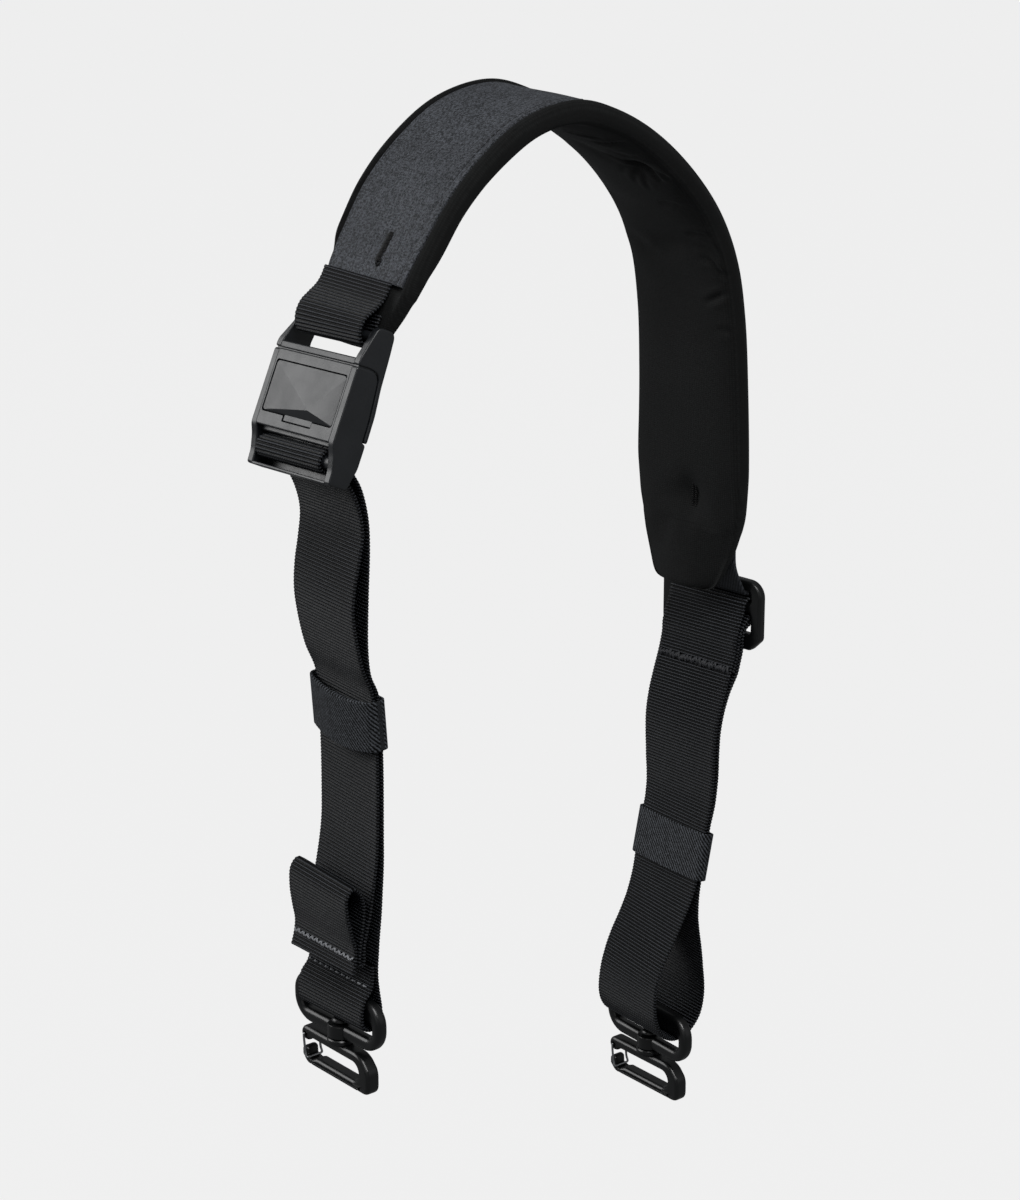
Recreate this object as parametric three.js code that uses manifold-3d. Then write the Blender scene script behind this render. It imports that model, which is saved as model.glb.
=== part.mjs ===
// Padded crossbody strap: an arched shoulder pad, a release buckle, two adjustable webbing runs
// and a swivelling wire-gate hook at each end. Millimetres, +Z up.
// The origin is the middle of the pad's inner face at the top of the arch, where a shoulder sits.
// +X runs from the buckle side to the slider side, and Y runs across the width of the strap.
import * as THREE from "three";
import { mergeVertices } from "three/addons/utils/BufferGeometryUtils.js";
import Module from "manifold-3d";

const wasm = await Module();
wasm.setup();

// Driving dimensions.
const GAP = 0.35;
const WEB = { width: 38, thick: 1.5 };
const COVER = { width: 46, thick: 1.4, from: 0.178, to: 0.836 };
const KEEPER = { width: 41.8, thick: 6.9, wall: 1, height: 19, corner: 2.4 };
const RING = {
  width: 50,
  height: 20.5,
  thick: 5.2,
  ease: 2,
  top: 2.5,
  opening: 40.5,
  bar: 8.5,
  slot: 6.5,
  boss: 5,
  bore: 2.4,
};
const POST = { radius: 2, head: 3.3, headHeight: 2, flange: 5.2, flangeHeight: 2 };
const HOOK = { near: -19.9, far: 20.8, drop: 15.2, thick: 6, limb: 4.1 };
const GATE = { wire: 0.6, legs: 3.95, pivotY: 18.3, pivotDrop: 2.9, hole: 1.0 };
const SLIDER = {
  width: 48,
  thick: 4,
  corner: 6.5,
  opening: 40.5,
  edge: 4.2,
  bar: 4.2,
  upperSlot: 4.8,
  lowerSlot: 8.6,
  lowerEdge: 6.8,
};
const BUCKLE = { half: 24.1, inner: 20.9, lean: 26, tilt: 3 };
const LEFT_RING = { x: -92.5, z: -315.5, yaw: 2 };
const RIGHT_RING = { x: 64, z: -370.3, yaw: -3 };
const SLIDER_AT = { x: 95, z: -202, yaw: 8 };
const BUCKLE_AT = { x: -103.8, z: -84.3 };

// How a strand lies at each height, in degrees: its turn about the vertical, and how far its
// near edge is raised.
const LOOP_LIE = [
  { z: -53, yaw: 0, tilt: 0 },
  { z: -62, yaw: 0, tilt: 3 },
];
const LEFT_LIE = [
  { z: -108, yaw: 0, tilt: 3 },
  { z: -135, yaw: -1, tilt: 0 },
  { z: -160, yaw: -3, tilt: 0 },
  { z: -192, yaw: -4, tilt: 0 },
  { z: -218, yaw: -4, tilt: 0 },
  { z: -250, yaw: -4.5, tilt: 0 },
  { z: -270, yaw: -3.5, tilt: 0 },
  { z: -295, yaw: 0, tilt: 0 },
  { z: -320, yaw: 2, tilt: 0 },
];
const RIGHT_LIE = [
  { z: -60, yaw: 0, tilt: 0 },
  { z: -165, yaw: 4, tilt: 0 },
  { z: -185, yaw: 6, tilt: 0 },
  { z: -200, yaw: 8, tilt: 0 },
  { z: -240, yaw: 6, tilt: 0 },
  { z: -270, yaw: 3, tilt: 0 },
  { z: -288, yaw: -1.8, tilt: 0 },
  { z: -312, yaw: -1.8, tilt: 0 },
  { z: -328, yaw: -7, tilt: 0 },
  { z: -350, yaw: -8, tilt: 0 },
  { z: -370, yaw: -3, tilt: 0 },
];

// Middle line of the pad, from its buckle end over the top to its slider end.
const PAD_ROWS = [
  { x: -83.0, z: -69.5, half: 15, thick: 6 },
  { x: -82.4, z: -67.5, half: 17.5, thick: 6.5 },
  { x: -80.9, z: -62.5, half: 20.5, thick: 7 },
  { x: -77.0, z: -54, half: 24.5, thick: 8.2 },
  { x: -73.0, z: -46.5, half: 27, thick: 9.4 },
  { x: -64.5, z: -35, half: 28, thick: 10 },
  { x: -54.3, z: -21.7, half: 28, thick: 10 },
  { x: -41.5, z: -9.8, half: 28, thick: 10 },
  { x: -22.5, z: 1.6, half: 28, thick: 10 },
  { x: 0, z: 5, half: 28, thick: 10 },
  { x: 17, z: -0.1, half: 28, thick: 10 },
  { x: 34.5, z: -9.9, half: 28, thick: 10 },
  { x: 52, z: -25, half: 28, thick: 10 },
  { x: 66, z: -42.5, half: 28, thick: 10 },
  { x: 74.5, z: -61, half: 28, thick: 10 },
  { x: 78.5, z: -82, half: 28, thick: 10 },
  { x: 80.5, z: -110, half: 28, thick: 10 },
  { x: 81.5, z: -145, half: 28, thick: 10 },
  { x: 81.3, z: -160, half: 26.5, thick: 10 },
  { x: 80.6, z: -175, half: 22.5, thick: 9 },
  { x: 79.5, z: -185.5, half: 18, thick: 8 },
  { x: 78.7, z: -191.8, half: 15, thick: 7 },
  { x: 78.5, z: -193.5, half: 12.5, thick: 6 },
];

// Webbing that leaves the pad, bulges out and folds round the buckle's top bar.
const UPPER_LOOP_ROWS = [
  { x: -78.9, z: -44.8 },
  { x: -80.9, z: -48.6 },
  { x: -83.2, z: -51.2 },
  { x: -86.5, z: -53.4 },
  { x: -90.0, z: -55.7 },
  { x: -92.2, z: -59.2 },
  { x: -92.5, z: -62.5 },
  { x: -91.6, z: -64.9 },
  { x: -89.2, z: -65.9 },
  { x: -86.9, z: -64.9 },
  { x: -85.8, z: -62.5 },
  { x: -85.7, z: -60.9 },
  { x: -84.8, z: -58.3 },
  { x: -83.4, z: -55.5 },
];

// One ribbon: sewn round the ring, up at the back, over the adjusting bar, down the front
// in a slack curve, through the keeper, and folded into a grab tab.
const LEFT_ROWS = [
  { x: -91.2, z: -299 },
  { x: -91.3, z: -304 },
  { x: -92.7, z: -309 },
  { x: -95.7, z: -312.7 },
  { x: -96.7, z: -317.5 },
  { x: -95.8, z: -321.8 },
  { x: -92.5, z: -323.2 },
  { x: -89.2, z: -321.8 },
  { x: -88.3, z: -317.5 },
  { x: -89.0, z: -309.5 },
  { x: -89.4, z: -303 },
  { x: -88.4, z: -292 },
  { x: -86.2, z: -277 },
  { x: -84.6, z: -260 },
  { x: -84.2, z: -240 },
  { x: -84.3, z: -216 },
  { x: -85.1, z: -205 },
  { x: -85.9, z: -194 },
  { x: -89.2, z: -186 },
  { x: -90.4, z: -176 },
  { x: -90.2, z: -157 },
  { x: -89.8, z: -137 },
  { x: -90.5, z: -127 },
  { x: -93.6, z: -116 },
  { x: -98.6, z: -108.4 },
  { x: -103.2, z: -103.2 },
  { x: -106.4, z: -100.8 },
  { x: -109.9, z: -101.8 },
  { x: -111.0, z: -104.8 },
  { x: -109.6, z: -107.2 },
  { x: -106.6, z: -108.0 },
  { x: -101.5, z: -110.5 },
  { x: -96.9, z: -116.8 },
  { x: -93.7, z: -124.5 },
  { x: -92.4, z: -132.5 },
  { x: -93.8, z: -142 },
  { x: -95.6, z: -150.5 },
  { x: -96.5, z: -160.5 },
  { x: -95.4, z: -170 },
  { x: -92.4, z: -183 },
  { x: -88.0, z: -194 },
  { x: -87.2, z: -205 },
  { x: -86.4, z: -216 },
  { x: -86.3, z: -240 },
  { x: -87.0, z: -256 },
  { x: -89.5, z: -271 },
  { x: -91.0, z: -278 },
  { x: -92.9, z: -284.5 },
  { x: -94.6, z: -290.5 },
  { x: -95.1, z: -296.6 },
  { x: -95.4, z: -297.35 },
  { x: -96.1, z: -297.7 },
  { x: -96.8, z: -297.35 },
  { x: -97.1, z: -296.6 },
  { x: -96.5, z: -290.5 },
  { x: -95.3, z: -285 },
  { x: -94.2, z: -279.5 },
  { x: -93.8, z: -274 },
  { x: -95.2, z: -269 },
  { x: -98.3, z: -266.3 },
  { x: -101.1, z: -269 },
  { x: -101.4, z: -276 },
  { x: -100.0, z: -284 },
  { x: -98.6, z: -290.5 },
  { x: -99.1, z: -296 },
  { x: -100.3, z: -300.3 },
];

// One ribbon: sewn to the pad, through the slider, down the back, round the ring in a wide
// loop, up the front, and sewn round the slider's middle bar.
const RIGHT_ROWS = [
  { x: 87.0, z: -168 },
  { x: 86.4, z: -176 },
  { x: 86.6, z: -183 },
  { x: 88.2, z: -188 },
  { x: 90.1, z: -192 },
  { x: 91.9, z: -195.4 },
  { x: 95.3, z: -196.5 },
  { x: 98.9, z: -198.1 },
  { x: 100.6, z: -202 },
  { x: 99.3, z: -205.7 },
  { x: 96.0, z: -208.3 },
  { x: 92.6, z: -210.6 },
  { x: 91.4, z: -214.2 },
  { x: 91.2, z: -218.5 },
  { x: 89.8, z: -224.5 },
  { x: 88.8, z: -228 },
  { x: 86.6, z: -232 },
  { x: 84.7, z: -235.5 },
  { x: 82.2, z: -242.5 },
  { x: 80.6, z: -251 },
  { x: 80.3, z: -260 },
  { x: 80.4, z: -268 },
  { x: 80.0, z: -280 },
  { x: 79.0, z: -286 },
  { x: 78.0, z: -290.5 },
  { x: 76.0, z: -300.2 },
  { x: 74.0, z: -310 },
  { x: 73.6, z: -320 },
  { x: 75.0, z: -332 },
  { x: 76.8, z: -342 },
  { x: 78.0, z: -352 },
  { x: 77.6, z: -362.5 },
  { x: 74.6, z: -371 },
  { x: 69.5, z: -376 },
  { x: 64.0, z: -377.6 },
  { x: 60.0, z: -377 },
  { x: 55.2, z: -373.8 },
  { x: 52.1, z: -367 },
  { x: 51.8, z: -358 },
  { x: 53.3, z: -350 },
  { x: 57.0, z: -342 },
  { x: 61.4, z: -335 },
  { x: 65.8, z: -327 },
  { x: 69.4, z: -319 },
  { x: 72.1, z: -310 },
  { x: 74.1, z: -300.2 },
  { x: 76.1, z: -290.5 },
  { x: 77.1, z: -286 },
  { x: 78.1, z: -280 },
  { x: 78.4, z: -268 },
  { x: 78.3, z: -260 },
  { x: 78.6, z: -251 },
  { x: 80.2, z: -242.5 },
  { x: 82.6, z: -234.5 },
  { x: 85.9, z: -224.5 },
  { x: 87.3, z: -218.5 },
  { x: 87.6, z: -214.3 },
  { x: 89.4, z: -208 },
  { x: 91.1, z: -203.8 },
  { x: 92.1, z: -199.8 },
  { x: 95.0, z: -198.3 },
  { x: 98.0, z: -199.9 },
  { x: 98.7, z: -202.2 },
  { x: 97.6, z: -204.7 },
  { x: 95.0, z: -205.9 },
  { x: 91.3, z: -209.7 },
  { x: 89.5, z: -214 },
  { x: 89.2, z: -218.5 },
  { x: 87.85, z: -224.5 },
  { x: 86.8, z: -227.5 },
];

const AXIS = {
  x: new THREE.Vector3(1, 0, 0),
  y: new THREE.Vector3(0, 1, 0),
  z: new THREE.Vector3(0, 0, 1),
};

const FINISH = {
  foam: { color: 0x0c0c0d, roughness: 0.95, metalness: 0 },
  woven: { color: 0x1d1f22, roughness: 0.8, metalness: 0 },
  webbing: { color: 0x101112, roughness: 0.7, metalness: 0 },
  elastic: { color: 0x141517, roughness: 0.85, metalness: 0 },
  plastic: { color: 0x151618, roughness: 0.5, metalness: 0 },
  steel: { color: 0x9a9b9c, roughness: 0.3, metalness: 1 },
};

/** A mesh from a geometry and a finish, put at a place and turned by degrees about X, Y and Z. */
function piece(name, geometry, finish, { x = 0, z = 0, lean = 0, yaw = 0 } = {}) {
  const mesh = new THREE.Mesh(geometry, new THREE.MeshStandardMaterial(FINISH[finish]));
  mesh.name = name;
  mesh.position.set(x, 0, z);
  mesh.rotation.set(0, THREE.MathUtils.degToRad(lean), THREE.MathUtils.degToRad(yaw));
  mesh.rotation.order = "ZYX";
  return mesh;
}

/** Six times the signed volume under a triangle list, to tell which way its faces point. */
function signedVolume(positions, index) {
  const [a, b, c] = [new THREE.Vector3(), new THREE.Vector3(), new THREE.Vector3()];
  let sum = 0;
  for (let i = 0; i < index.length; i += 3) {
    a.fromArray(positions, index[i] * 3);
    b.fromArray(positions, index[i + 1] * 3);
    c.fromArray(positions, index[i + 2] * 3);
    sum += a.dot(b.cross(c));
  }
  return sum;
}

/** Geometry from positions and triangles, with its faces turned outward. */
function closedGeometry(positions, index) {
  const turned = signedVolume(positions, index) < 0 ? [...index].reverse() : index;
  const geometry = new THREE.BufferGeometry();
  geometry.setAttribute("position", new THREE.Float32BufferAttribute(positions, 3));
  geometry.setIndex(turned);
  return geometry;
}

/** Closed skin through rings that have the same number of points, with flat ends. */
function loft(rings) {
  const sides = rings[0].length;
  const last = (rings.length - 1) * sides;
  const positions = rings.flat().flatMap((point) => point.toArray());
  const index = [];
  for (let i = 0; i < rings.length - 1; i += 1) {
    for (let j = 0; j < sides; j += 1) {
      const [a, b] = [i * sides + j, i * sides + ((j + 1) % sides)];
      index.push(a, b, b + sides, a, b + sides, a + sides);
    }
  }
  for (let j = 1; j < sides - 1; j += 1) {
    index.push(0, j + 1, j, last, last + j, last + j + 1);
  }
  return closedGeometry(positions, index);
}

/** Direction across a strand at a height, straight between the rows of its lie table. */
function acrossAt(lie, z) {
  const next = lie.findIndex((row) => row.z <= z);
  const lower = next < 0 ? lie[lie.length - 1] : lie[next];
  const upper = next > 0 ? lie[next - 1] : lower;
  const share = upper === lower ? 0 : (upper.z - z) / (upper.z - lower.z);
  const yaw = THREE.MathUtils.degToRad(THREE.MathUtils.lerp(upper.yaw, lower.yaw, share));
  const tilt = THREE.MathUtils.degToRad(THREE.MathUtils.lerp(upper.tilt, lower.tilt, share));
  return new THREE.Vector3(Math.sin(yaw), -Math.cos(yaw), Math.sin(tilt)).normalize();
}

/** Frames along a row table: middle point, direction across the width, and outward normal. */
function frames(rows, lie, steps, from = 0, to = 1) {
  const route = new THREE.CatmullRomCurve3(rows.map((row) => new THREE.Vector3(row.x, 0, row.z)));
  const count = Math.round((rows.length - 1) * steps * (to - from));
  return Array.from({ length: count + 1 }, (_, i) => {
    const t = from + ((to - from) * i) / count;
    const middle = route.getPoint(t);
    const across = acrossAt(lie, middle.z);
    const out = new THREE.Vector3().crossVectors(across, route.getTangent(t)).normalize();
    return { t, middle, across, out };
  });
}

/** Four corners of a flat band's section. */
function bandSection(frame, width, thick, lift = 0) {
  const corners = [[1, 1], [-1, 1], [-1, -1], [1, -1]];
  return corners.map(([u, v]) => frame.middle.clone()
    .addScaledVector(frame.across, (u * width) / 2)
    .addScaledVector(frame.out, lift + (v * thick) / 2));
}

/** A flat ribbon of webbing along its row table. */
function webbing(rows, lie, steps) {
  return loft(frames(rows, lie, steps).map((frame) => bandSection(frame, WEB.width, WEB.thick)));
}

/** Half width and thickness of the pad at a place along its table. */
function padSize(t) {
  const rows = PAD_ROWS.map((row) => new THREE.Vector3(row.half, row.thick, 0));
  return new THREE.CatmullRomCurve3(rows).getPoint(t);
}

/** Foam pad: a flat section with round sides, thinner under the woven panel, narrower at both ends. */
function padCore() {
  const arcSteps = 5;
  const rings = frames(PAD_ROWS, RIGHT_LIE, 3).map((frame) => {
    const size = padSize(frame.t);
    const covered = frame.t > COVER.from - 0.016 && frame.t < COVER.to + 0.016;
    const panel = covered ? COVER.thick + GAP : 0;
    const radius = (size.y - panel) / 2;
    return [1, -1].flatMap((side) => Array.from({ length: arcSteps + 1 }, (_, i) => {
      const angle = side * (Math.PI / 2 - (Math.PI * i) / arcSteps);
      return frame.middle.clone()
        .addScaledVector(frame.across, side * (size.x - radius + radius * Math.cos(angle)))
        .addScaledVector(frame.out, radius * Math.sin(angle) - panel / 2);
    }));
  });
  return loft(rings);
}

/** Woven panel that lies on the outer face of the pad. */
function padCover() {
  const lying = frames(PAD_ROWS, RIGHT_LIE, 3, COVER.from, COVER.to);
  return loft(lying.map((frame) => {
    const lift = (padSize(frame.t).y - COVER.thick) / 2;
    const width = Math.min(COVER.width, 2 * padSize(frame.t).x - 6);
    return bandSection(frame, width, COVER.thick, lift);
  }));
}

/** Rectangle with round corners, the lower two with a radius of their own. */
function roundedRectangle(width, height, radius, lowerRadius = radius) {
  const [w, h, r, s] = [width / 2, height / 2, radius, lowerRadius];
  const shape = new THREE.Shape();
  shape.moveTo(-w + s, -h);
  shape.lineTo(w - s, -h);
  shape.absarc(w - s, -h + s, s, -Math.PI / 2, 0);
  shape.lineTo(w, h - r);
  shape.absarc(w - r, h - r, r, 0, Math.PI / 2);
  shape.lineTo(-w + r, h);
  shape.absarc(-w + r, h - r, r, Math.PI / 2, Math.PI);
  shape.lineTo(-w, -h + s);
  shape.absarc(-w + s, -h + s, s, Math.PI, 1.5 * Math.PI);
  return shape;
}

/** Plate of a shape drawn across (Y) and up (Z), with its thickness along X and eased edges. */
function plate(shape, thick, ease, curveSegments = 4) {
  const geometry = new THREE.ExtrudeGeometry(shape, {
    depth: thick - 2 * ease,
    bevelEnabled: ease > 0,
    bevelThickness: ease,
    bevelSize: ease,
    bevelOffset: -ease,
    bevelSegments: 2,
    curveSegments,
  });
  geometry.translate(0, 0, ease - thick / 2);
  return geometry.applyMatrix4(new THREE.Matrix4().makeBasis(AXIS.y, AXIS.z, AXIS.x));
}

/** Moves an outline by an offset, as a new shape or as a hole's path. */
function shifted(shape, x, y, Kind = THREE.Shape) {
  return new Kind(shape.getPoints(4).map((point) => new THREE.Vector2(point.x + x, point.y + y)));
}

/** Solid of the boolean library from a three.js geometry. */
function solid(geometry) {
  const bare = geometry.clone();
  bare.deleteAttribute("normal");
  bare.deleteAttribute("uv");
  const merged = mergeVertices(bare, 1e-4);
  return new wasm.Manifold(new wasm.Mesh({
    numProp: 3,
    vertProperties: new Float32Array(merged.attributes.position.array),
    triVerts: new Uint32Array(merged.index.array),
  }));
}

/** Three.js geometry from a solid. */
function surface(body) {
  const mesh = body.getMesh();
  return closedGeometry(Array.from(mesh.vertProperties), Array.from(mesh.triVerts));
}

/** Box between two corners. */
function box(low, high) {
  const size = high.map((value, i) => value - low[i]);
  const geometry = new THREE.BoxGeometry(...size);
  return geometry.translate(...low.map((value, i) => value + size[i] / 2));
}

/** Upright round bar with its foot at a height. */
function upright(radius, foot, height, sides = 24, topRadius = radius) {
  const geometry = new THREE.CylinderGeometry(topRadius, radius, height, sides);
  return geometry.rotateX(Math.PI / 2).translate(0, 0, foot + height / 2);
}

/** Round bar across the width, at a depth and height. */
function crossBar(radius, length, x, z) {
  return new THREE.CylinderGeometry(radius, radius, length, 16).translate(x, 0, z);
}

/** Elastic band that holds two layers of webbing, its walls round at both ends. */
function keeper() {
  const { width, thick, wall, height, corner } = KEEPER;
  const outline = roundedRectangle(thick, width, corner);
  const opening = roundedRectangle(thick - 2 * wall, width - 2 * wall, corner - wall);
  outline.holes.push(shifted(opening, 0, 0, THREE.Path));
  const settings = { depth: height, bevelEnabled: false, curveSegments: 4 };
  return new THREE.ExtrudeGeometry(outline, settings).translate(0, 0, -height / 2);
}

/** End ring. Its frame's origin is a little below the top of its deep upper bar. */
function ring() {
  const { width, opening, height, top, bar, slot, thick, ease, boss, bore } = RING;
  const bottom = top - height;
  const hole = roundedRectangle(opening, slot, 1.2, 3);
  const outline = shifted(roundedRectangle(width, height, 9, 9), 0, top - height / 2);
  outline.holes.push(shifted(hole, 0, top - bar - slot / 2, THREE.Path));
  const bossHeight = height - bar - slot;
  return surface(solid(plate(outline, thick, ease))
    .add(solid(upright(boss, bottom, bossHeight)))
    .subtract(solid(upright(bore, bottom - 1, bossHeight + 2))));
}

/** Outline of the hook, across and up, with the top of its upper limb at a height. */
function hookOutline(top) {
  const { near, far, drop, limb } = HOOK;
  const at = (y, down) => [y, top - down];
  const shape = new THREE.Shape();
  shape.moveTo(...at(GATE.pivotY, 0));
  shape.lineTo(...at(-11, 0));
  shape.quadraticCurveTo(...at(-14, 0), ...at(-16.5, 2));
  shape.lineTo(...at(-18.9, 4.6));
  shape.quadraticCurveTo(...at(near, 6.4), ...at(near, 8.4));
  shape.lineTo(...at(near, 11.5));
  shape.quadraticCurveTo(...at(near, drop), ...at(-16.2, drop));
  shape.lineTo(...at(15.5, drop - 0.4));
  shape.quadraticCurveTo(...at(19.6, drop - 0.9), ...at(far, 12));
  shape.lineTo(...at(far, 9.6));
  shape.quadraticCurveTo(...at(19.2, 7.6), ...at(17.5, 9.4));
  shape.lineTo(...at(17.3, 12.2));
  shape.quadraticCurveTo(...at(16.3, 13.2), ...at(15.3, 12.9));
  shape.lineTo(...at(12, 11.5));
  shape.lineTo(...at(-10, 11.5));
  shape.absarc(...at(-10, (limb + 11.5) / 2), (11.5 - limb) / 2, -Math.PI / 2, -1.5 * Math.PI, true);
  shape.lineTo(...at(14, limb));
  const ear = GATE.pivotDrop;
  const cut = ear * Math.SQRT1_2;
  shape.quadraticCurveTo(...at(15.2, limb), ...at(GATE.pivotY - cut, ear + cut));
  shape.absarc(...at(GATE.pivotY, ear), ear, 1.25 * Math.PI, 2.5 * Math.PI, false);
  return shape;
}

const HOOK_TOP = RING.top - RING.height - GAP - POST.flangeHeight;

/** Hook with its swivel post, flange and ear hole, in the ring's frame. */
function hook() {
  const ringTop = RING.top - RING.bar - RING.slot;
  const ringBottom = RING.top - RING.height;
  const headFoot = ringTop + GAP;
  const earHole = new THREE.CylinderGeometry(GATE.hole, GATE.hole, 2 * HOOK.thick, 12)
    .rotateZ(Math.PI / 2)
    .translate(0, GATE.pivotY, HOOK_TOP - GATE.pivotDrop);
  return surface(solid(plate(hookOutline(HOOK_TOP), HOOK.thick, 0.8))
    .add(solid(upright(POST.flange, HOOK_TOP - 0.5, ringBottom - GAP - HOOK_TOP + 0.5)))
    .add(solid(upright(POST.radius, HOOK_TOP, headFoot - HOOK_TOP + 0.5)))
    .add(solid(upright(POST.head, headFoot, POST.headHeight, 24, POST.head * 0.6)))
    .subtract(solid(earHole)));
}

/** Wire gate: two legs that end in the ear and straddle the hook's nose, joined by a crossbar. */
function gate() {
  const { wire, legs, pivotY, pivotDrop } = GATE;
  const leg = [
    { y: pivotY, down: pivotDrop },
    { y: 19.0, down: 5.2 },
    { y: 19.1, down: 8.2 },
    { y: 18.2, down: 10.4 },
    { y: 16.3, down: 11.8 },
  ];
  const points = [new THREE.Vector3(1.1, pivotY, HOOK_TOP - pivotDrop)];
  points.push(new THREE.Vector3(legs - 1.2, pivotY, HOOK_TOP - pivotDrop));
  leg.forEach((row) => points.push(new THREE.Vector3(legs, row.y, HOOK_TOP - row.down)));
  points.push(new THREE.Vector3(legs - 1, 16.2, HOOK_TOP - 11.9));
  const mirrored = [...points].reverse().map((point) => new THREE.Vector3(-point.x, point.y, point.z));
  const path = new THREE.CatmullRomCurve3([...points, ...mirrored]);
  const section = new THREE.Shape();
  section.absarc(0, 0, wire, 0, 2 * Math.PI);
  return new THREE.ExtrudeGeometry(section, { steps: 40, extrudePath: path, curveSegments: 4 });
}

/** Three-bar slider with a narrow upper slot and a wide lower one, its middle bar at the origin. */
function slider() {
  const { width, thick, opening, corner, edge, bar, upperSlot, lowerSlot, lowerEdge } = SLIDER;
  const top = bar / 2 + upperSlot + edge;
  const bottom = -bar / 2 - lowerSlot - lowerEdge;
  const outline = shifted(roundedRectangle(width, top - bottom, corner), 0, (top + bottom) / 2);
  const upper = roundedRectangle(opening, upperSlot, 1.2);
  const lower = roundedRectangle(opening, lowerSlot, 1.2);
  outline.holes.push(shifted(upper, 0, (bar + upperSlot) / 2, THREE.Path));
  outline.holes.push(shifted(lower, 0, -(bar + lowerSlot) / 2, THREE.Path));
  return plate(outline, thick, 0.9);
}

/** Wall of a buckle part: a profile in depth and height, thick across the width. */
function sideWall(profile, from, to) {
  const shape = new THREE.Shape(profile.map((row) => new THREE.Vector2(row.depth, row.up)));
  const geometry = new THREE.ExtrudeGeometry(shape, { depth: to - from, bevelEnabled: false });
  geometry.applyMatrix4(new THREE.Matrix4().makeBasis(AXIS.x, AXIS.z, AXIS.y.clone().negate()));
  return geometry.translate(0, -from, 0);
}

const LOWER_WALL = [
  { depth: 0, up: 14.2 },
  { depth: 0, up: -13.3 },
  { depth: 1.8, up: -17 },
  { depth: 3.4, up: -22.5 },
  { depth: 3.6, up: -27.3 },
  { depth: 11.8, up: -27.3 },
  { depth: 14.0, up: -19 },
  { depth: 14.0, up: -10.2 },
  { depth: 12.2, up: -9.8 },
  { depth: 12.0, up: -2 },
  { depth: 11.0, up: 8 },
  { depth: 10.4, up: 12.2 },
  { depth: 9.0, up: 14 },
  { depth: 5.9, up: 14.6 },
];

const UPPER_ARM = [
  { depth: 0, up: 14.9 },
  { depth: 5.9, up: 15.2 },
  { depth: 9.3, up: 14.5 },
  { depth: 10.9, up: 12.6 },
  { depth: 11.5, up: 8.2 },
  { depth: 12.6, up: -2 },
  { depth: 12.8, up: -9.5 },
  { depth: 14.4, up: -9.8 },
  { depth: 14.2, up: 0 },
  { depth: 13.0, up: 10 },
  { depth: 10.9, up: 21.3 },
  { depth: 8.4, up: 28.6 },
  { depth: 6.8, up: 29.8 },
  { depth: 2.2, up: 29.8 },
  { depth: 0.8, up: 28.6 },
  { depth: 0.3, up: 22 },
];

/** Lower half: face block with the button's pocket, side walls, adjusting bar and crossbar. */
function buckleLower() {
  const { half, inner } = BUCKLE;
  const faceBlock = box([0, -inner - 0.5, -13.3], [8.5, inner + 0.5, 14.2]);
  const pocket = box([-1, -20.5, -8.5], [2.8, 20.5, 10.8]);
  const latchPocket = box([-1, -9.5, -10.7], [2.8, 7.5, -8]);
  return surface(solid(faceBlock)
    .add(solid(sideWall(LOWER_WALL, inner, half)))
    .add(solid(sideWall(LOWER_WALL, -half, -inner)))
    .add(solid(crossBar(2.3, 2 * inner + 1, 5.6, -19.6)))
    .add(solid(box([3.7, -inner - 0.5, -27.2], [7.0, inner + 0.5, -24.9])))
    .subtract(solid(pocket))
    .subtract(solid(latchPocket)));
}

/** Upper half: two arms with a bar between their ends, a lip above the face and a back plate. */
function buckleUpper() {
  const { half, inner } = BUCKLE;
  return surface(solid(sideWall(UPPER_ARM, inner, half))
    .add(solid(sideWall(UPPER_ARM, -half, -inner)))
    .add(solid(crossBar(2.0, 2 * inner + 1, 3.6, 26)))
    .add(solid(box([0.2, -inner - 0.5, 14.9], [9, inner + 0.5, 17.4])))
    .add(solid(box([12.75, -inner - 0.5, -9.4], [14.2, inner + 0.5, 0.1]))));
}

/** Release button: a flat tile whose face rises to one low off-centre peak, with a latch tab. */
function buckleButton() {
  const [reach, low, high, floor, rim] = [20.1, -8.1, 10.4, 2.4, 0.5];
  const positions = [
    ...[floor, rim].flatMap((depth) => [
      [depth, reach, low],
      [depth, -reach, low],
      [depth, -reach, high],
      [depth, reach, high],
    ]),
    [-1.4, -4.5, -4.8],
  ].flat();
  const index = [0, 1, 2, 0, 2, 3];
  for (let i = 0; i < 4; i += 1) {
    const next = (i + 1) % 4;
    index.push(i, i + 4, next + 4, i, next + 4, next, i + 4, 8, next + 4);
  }
  const tab = box([0.5, -9.1, -10.3], [2.4, 7.1, -7]);
  return surface(solid(closedGeometry(positions, index)).add(solid(tab)));
}

/** One end: ring, hook and wire gate, hung from the ring's upper bar. */
function endFitting(side, place) {
  const group = new THREE.Group();
  group.position.set(place.x, 0, place.z);
  group.add(piece(`${side}_ring`, ring(), "plastic", { yaw: place.yaw }));
  group.add(piece(`${side}_hook`, hook(), "plastic"));
  group.add(piece(`${side}_gate`, gate(), "steel"));
  return group;
}

/** The release buckle in its own leaning frame, with its face's middle at the origin. */
function buckle() {
  const group = new THREE.Group();
  group.position.set(BUCKLE_AT.x, 0, BUCKLE_AT.z);
  group.rotation.set(THREE.MathUtils.degToRad(-BUCKLE.tilt), THREE.MathUtils.degToRad(BUCKLE.lean), 0);
  group.add(piece("buckle_upper", buckleUpper(), "plastic"));
  group.add(piece("buckle_lower", buckleLower(), "plastic"));
  group.add(piece("buckle_button", buckleButton(), "plastic"));
  return group;
}

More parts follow.
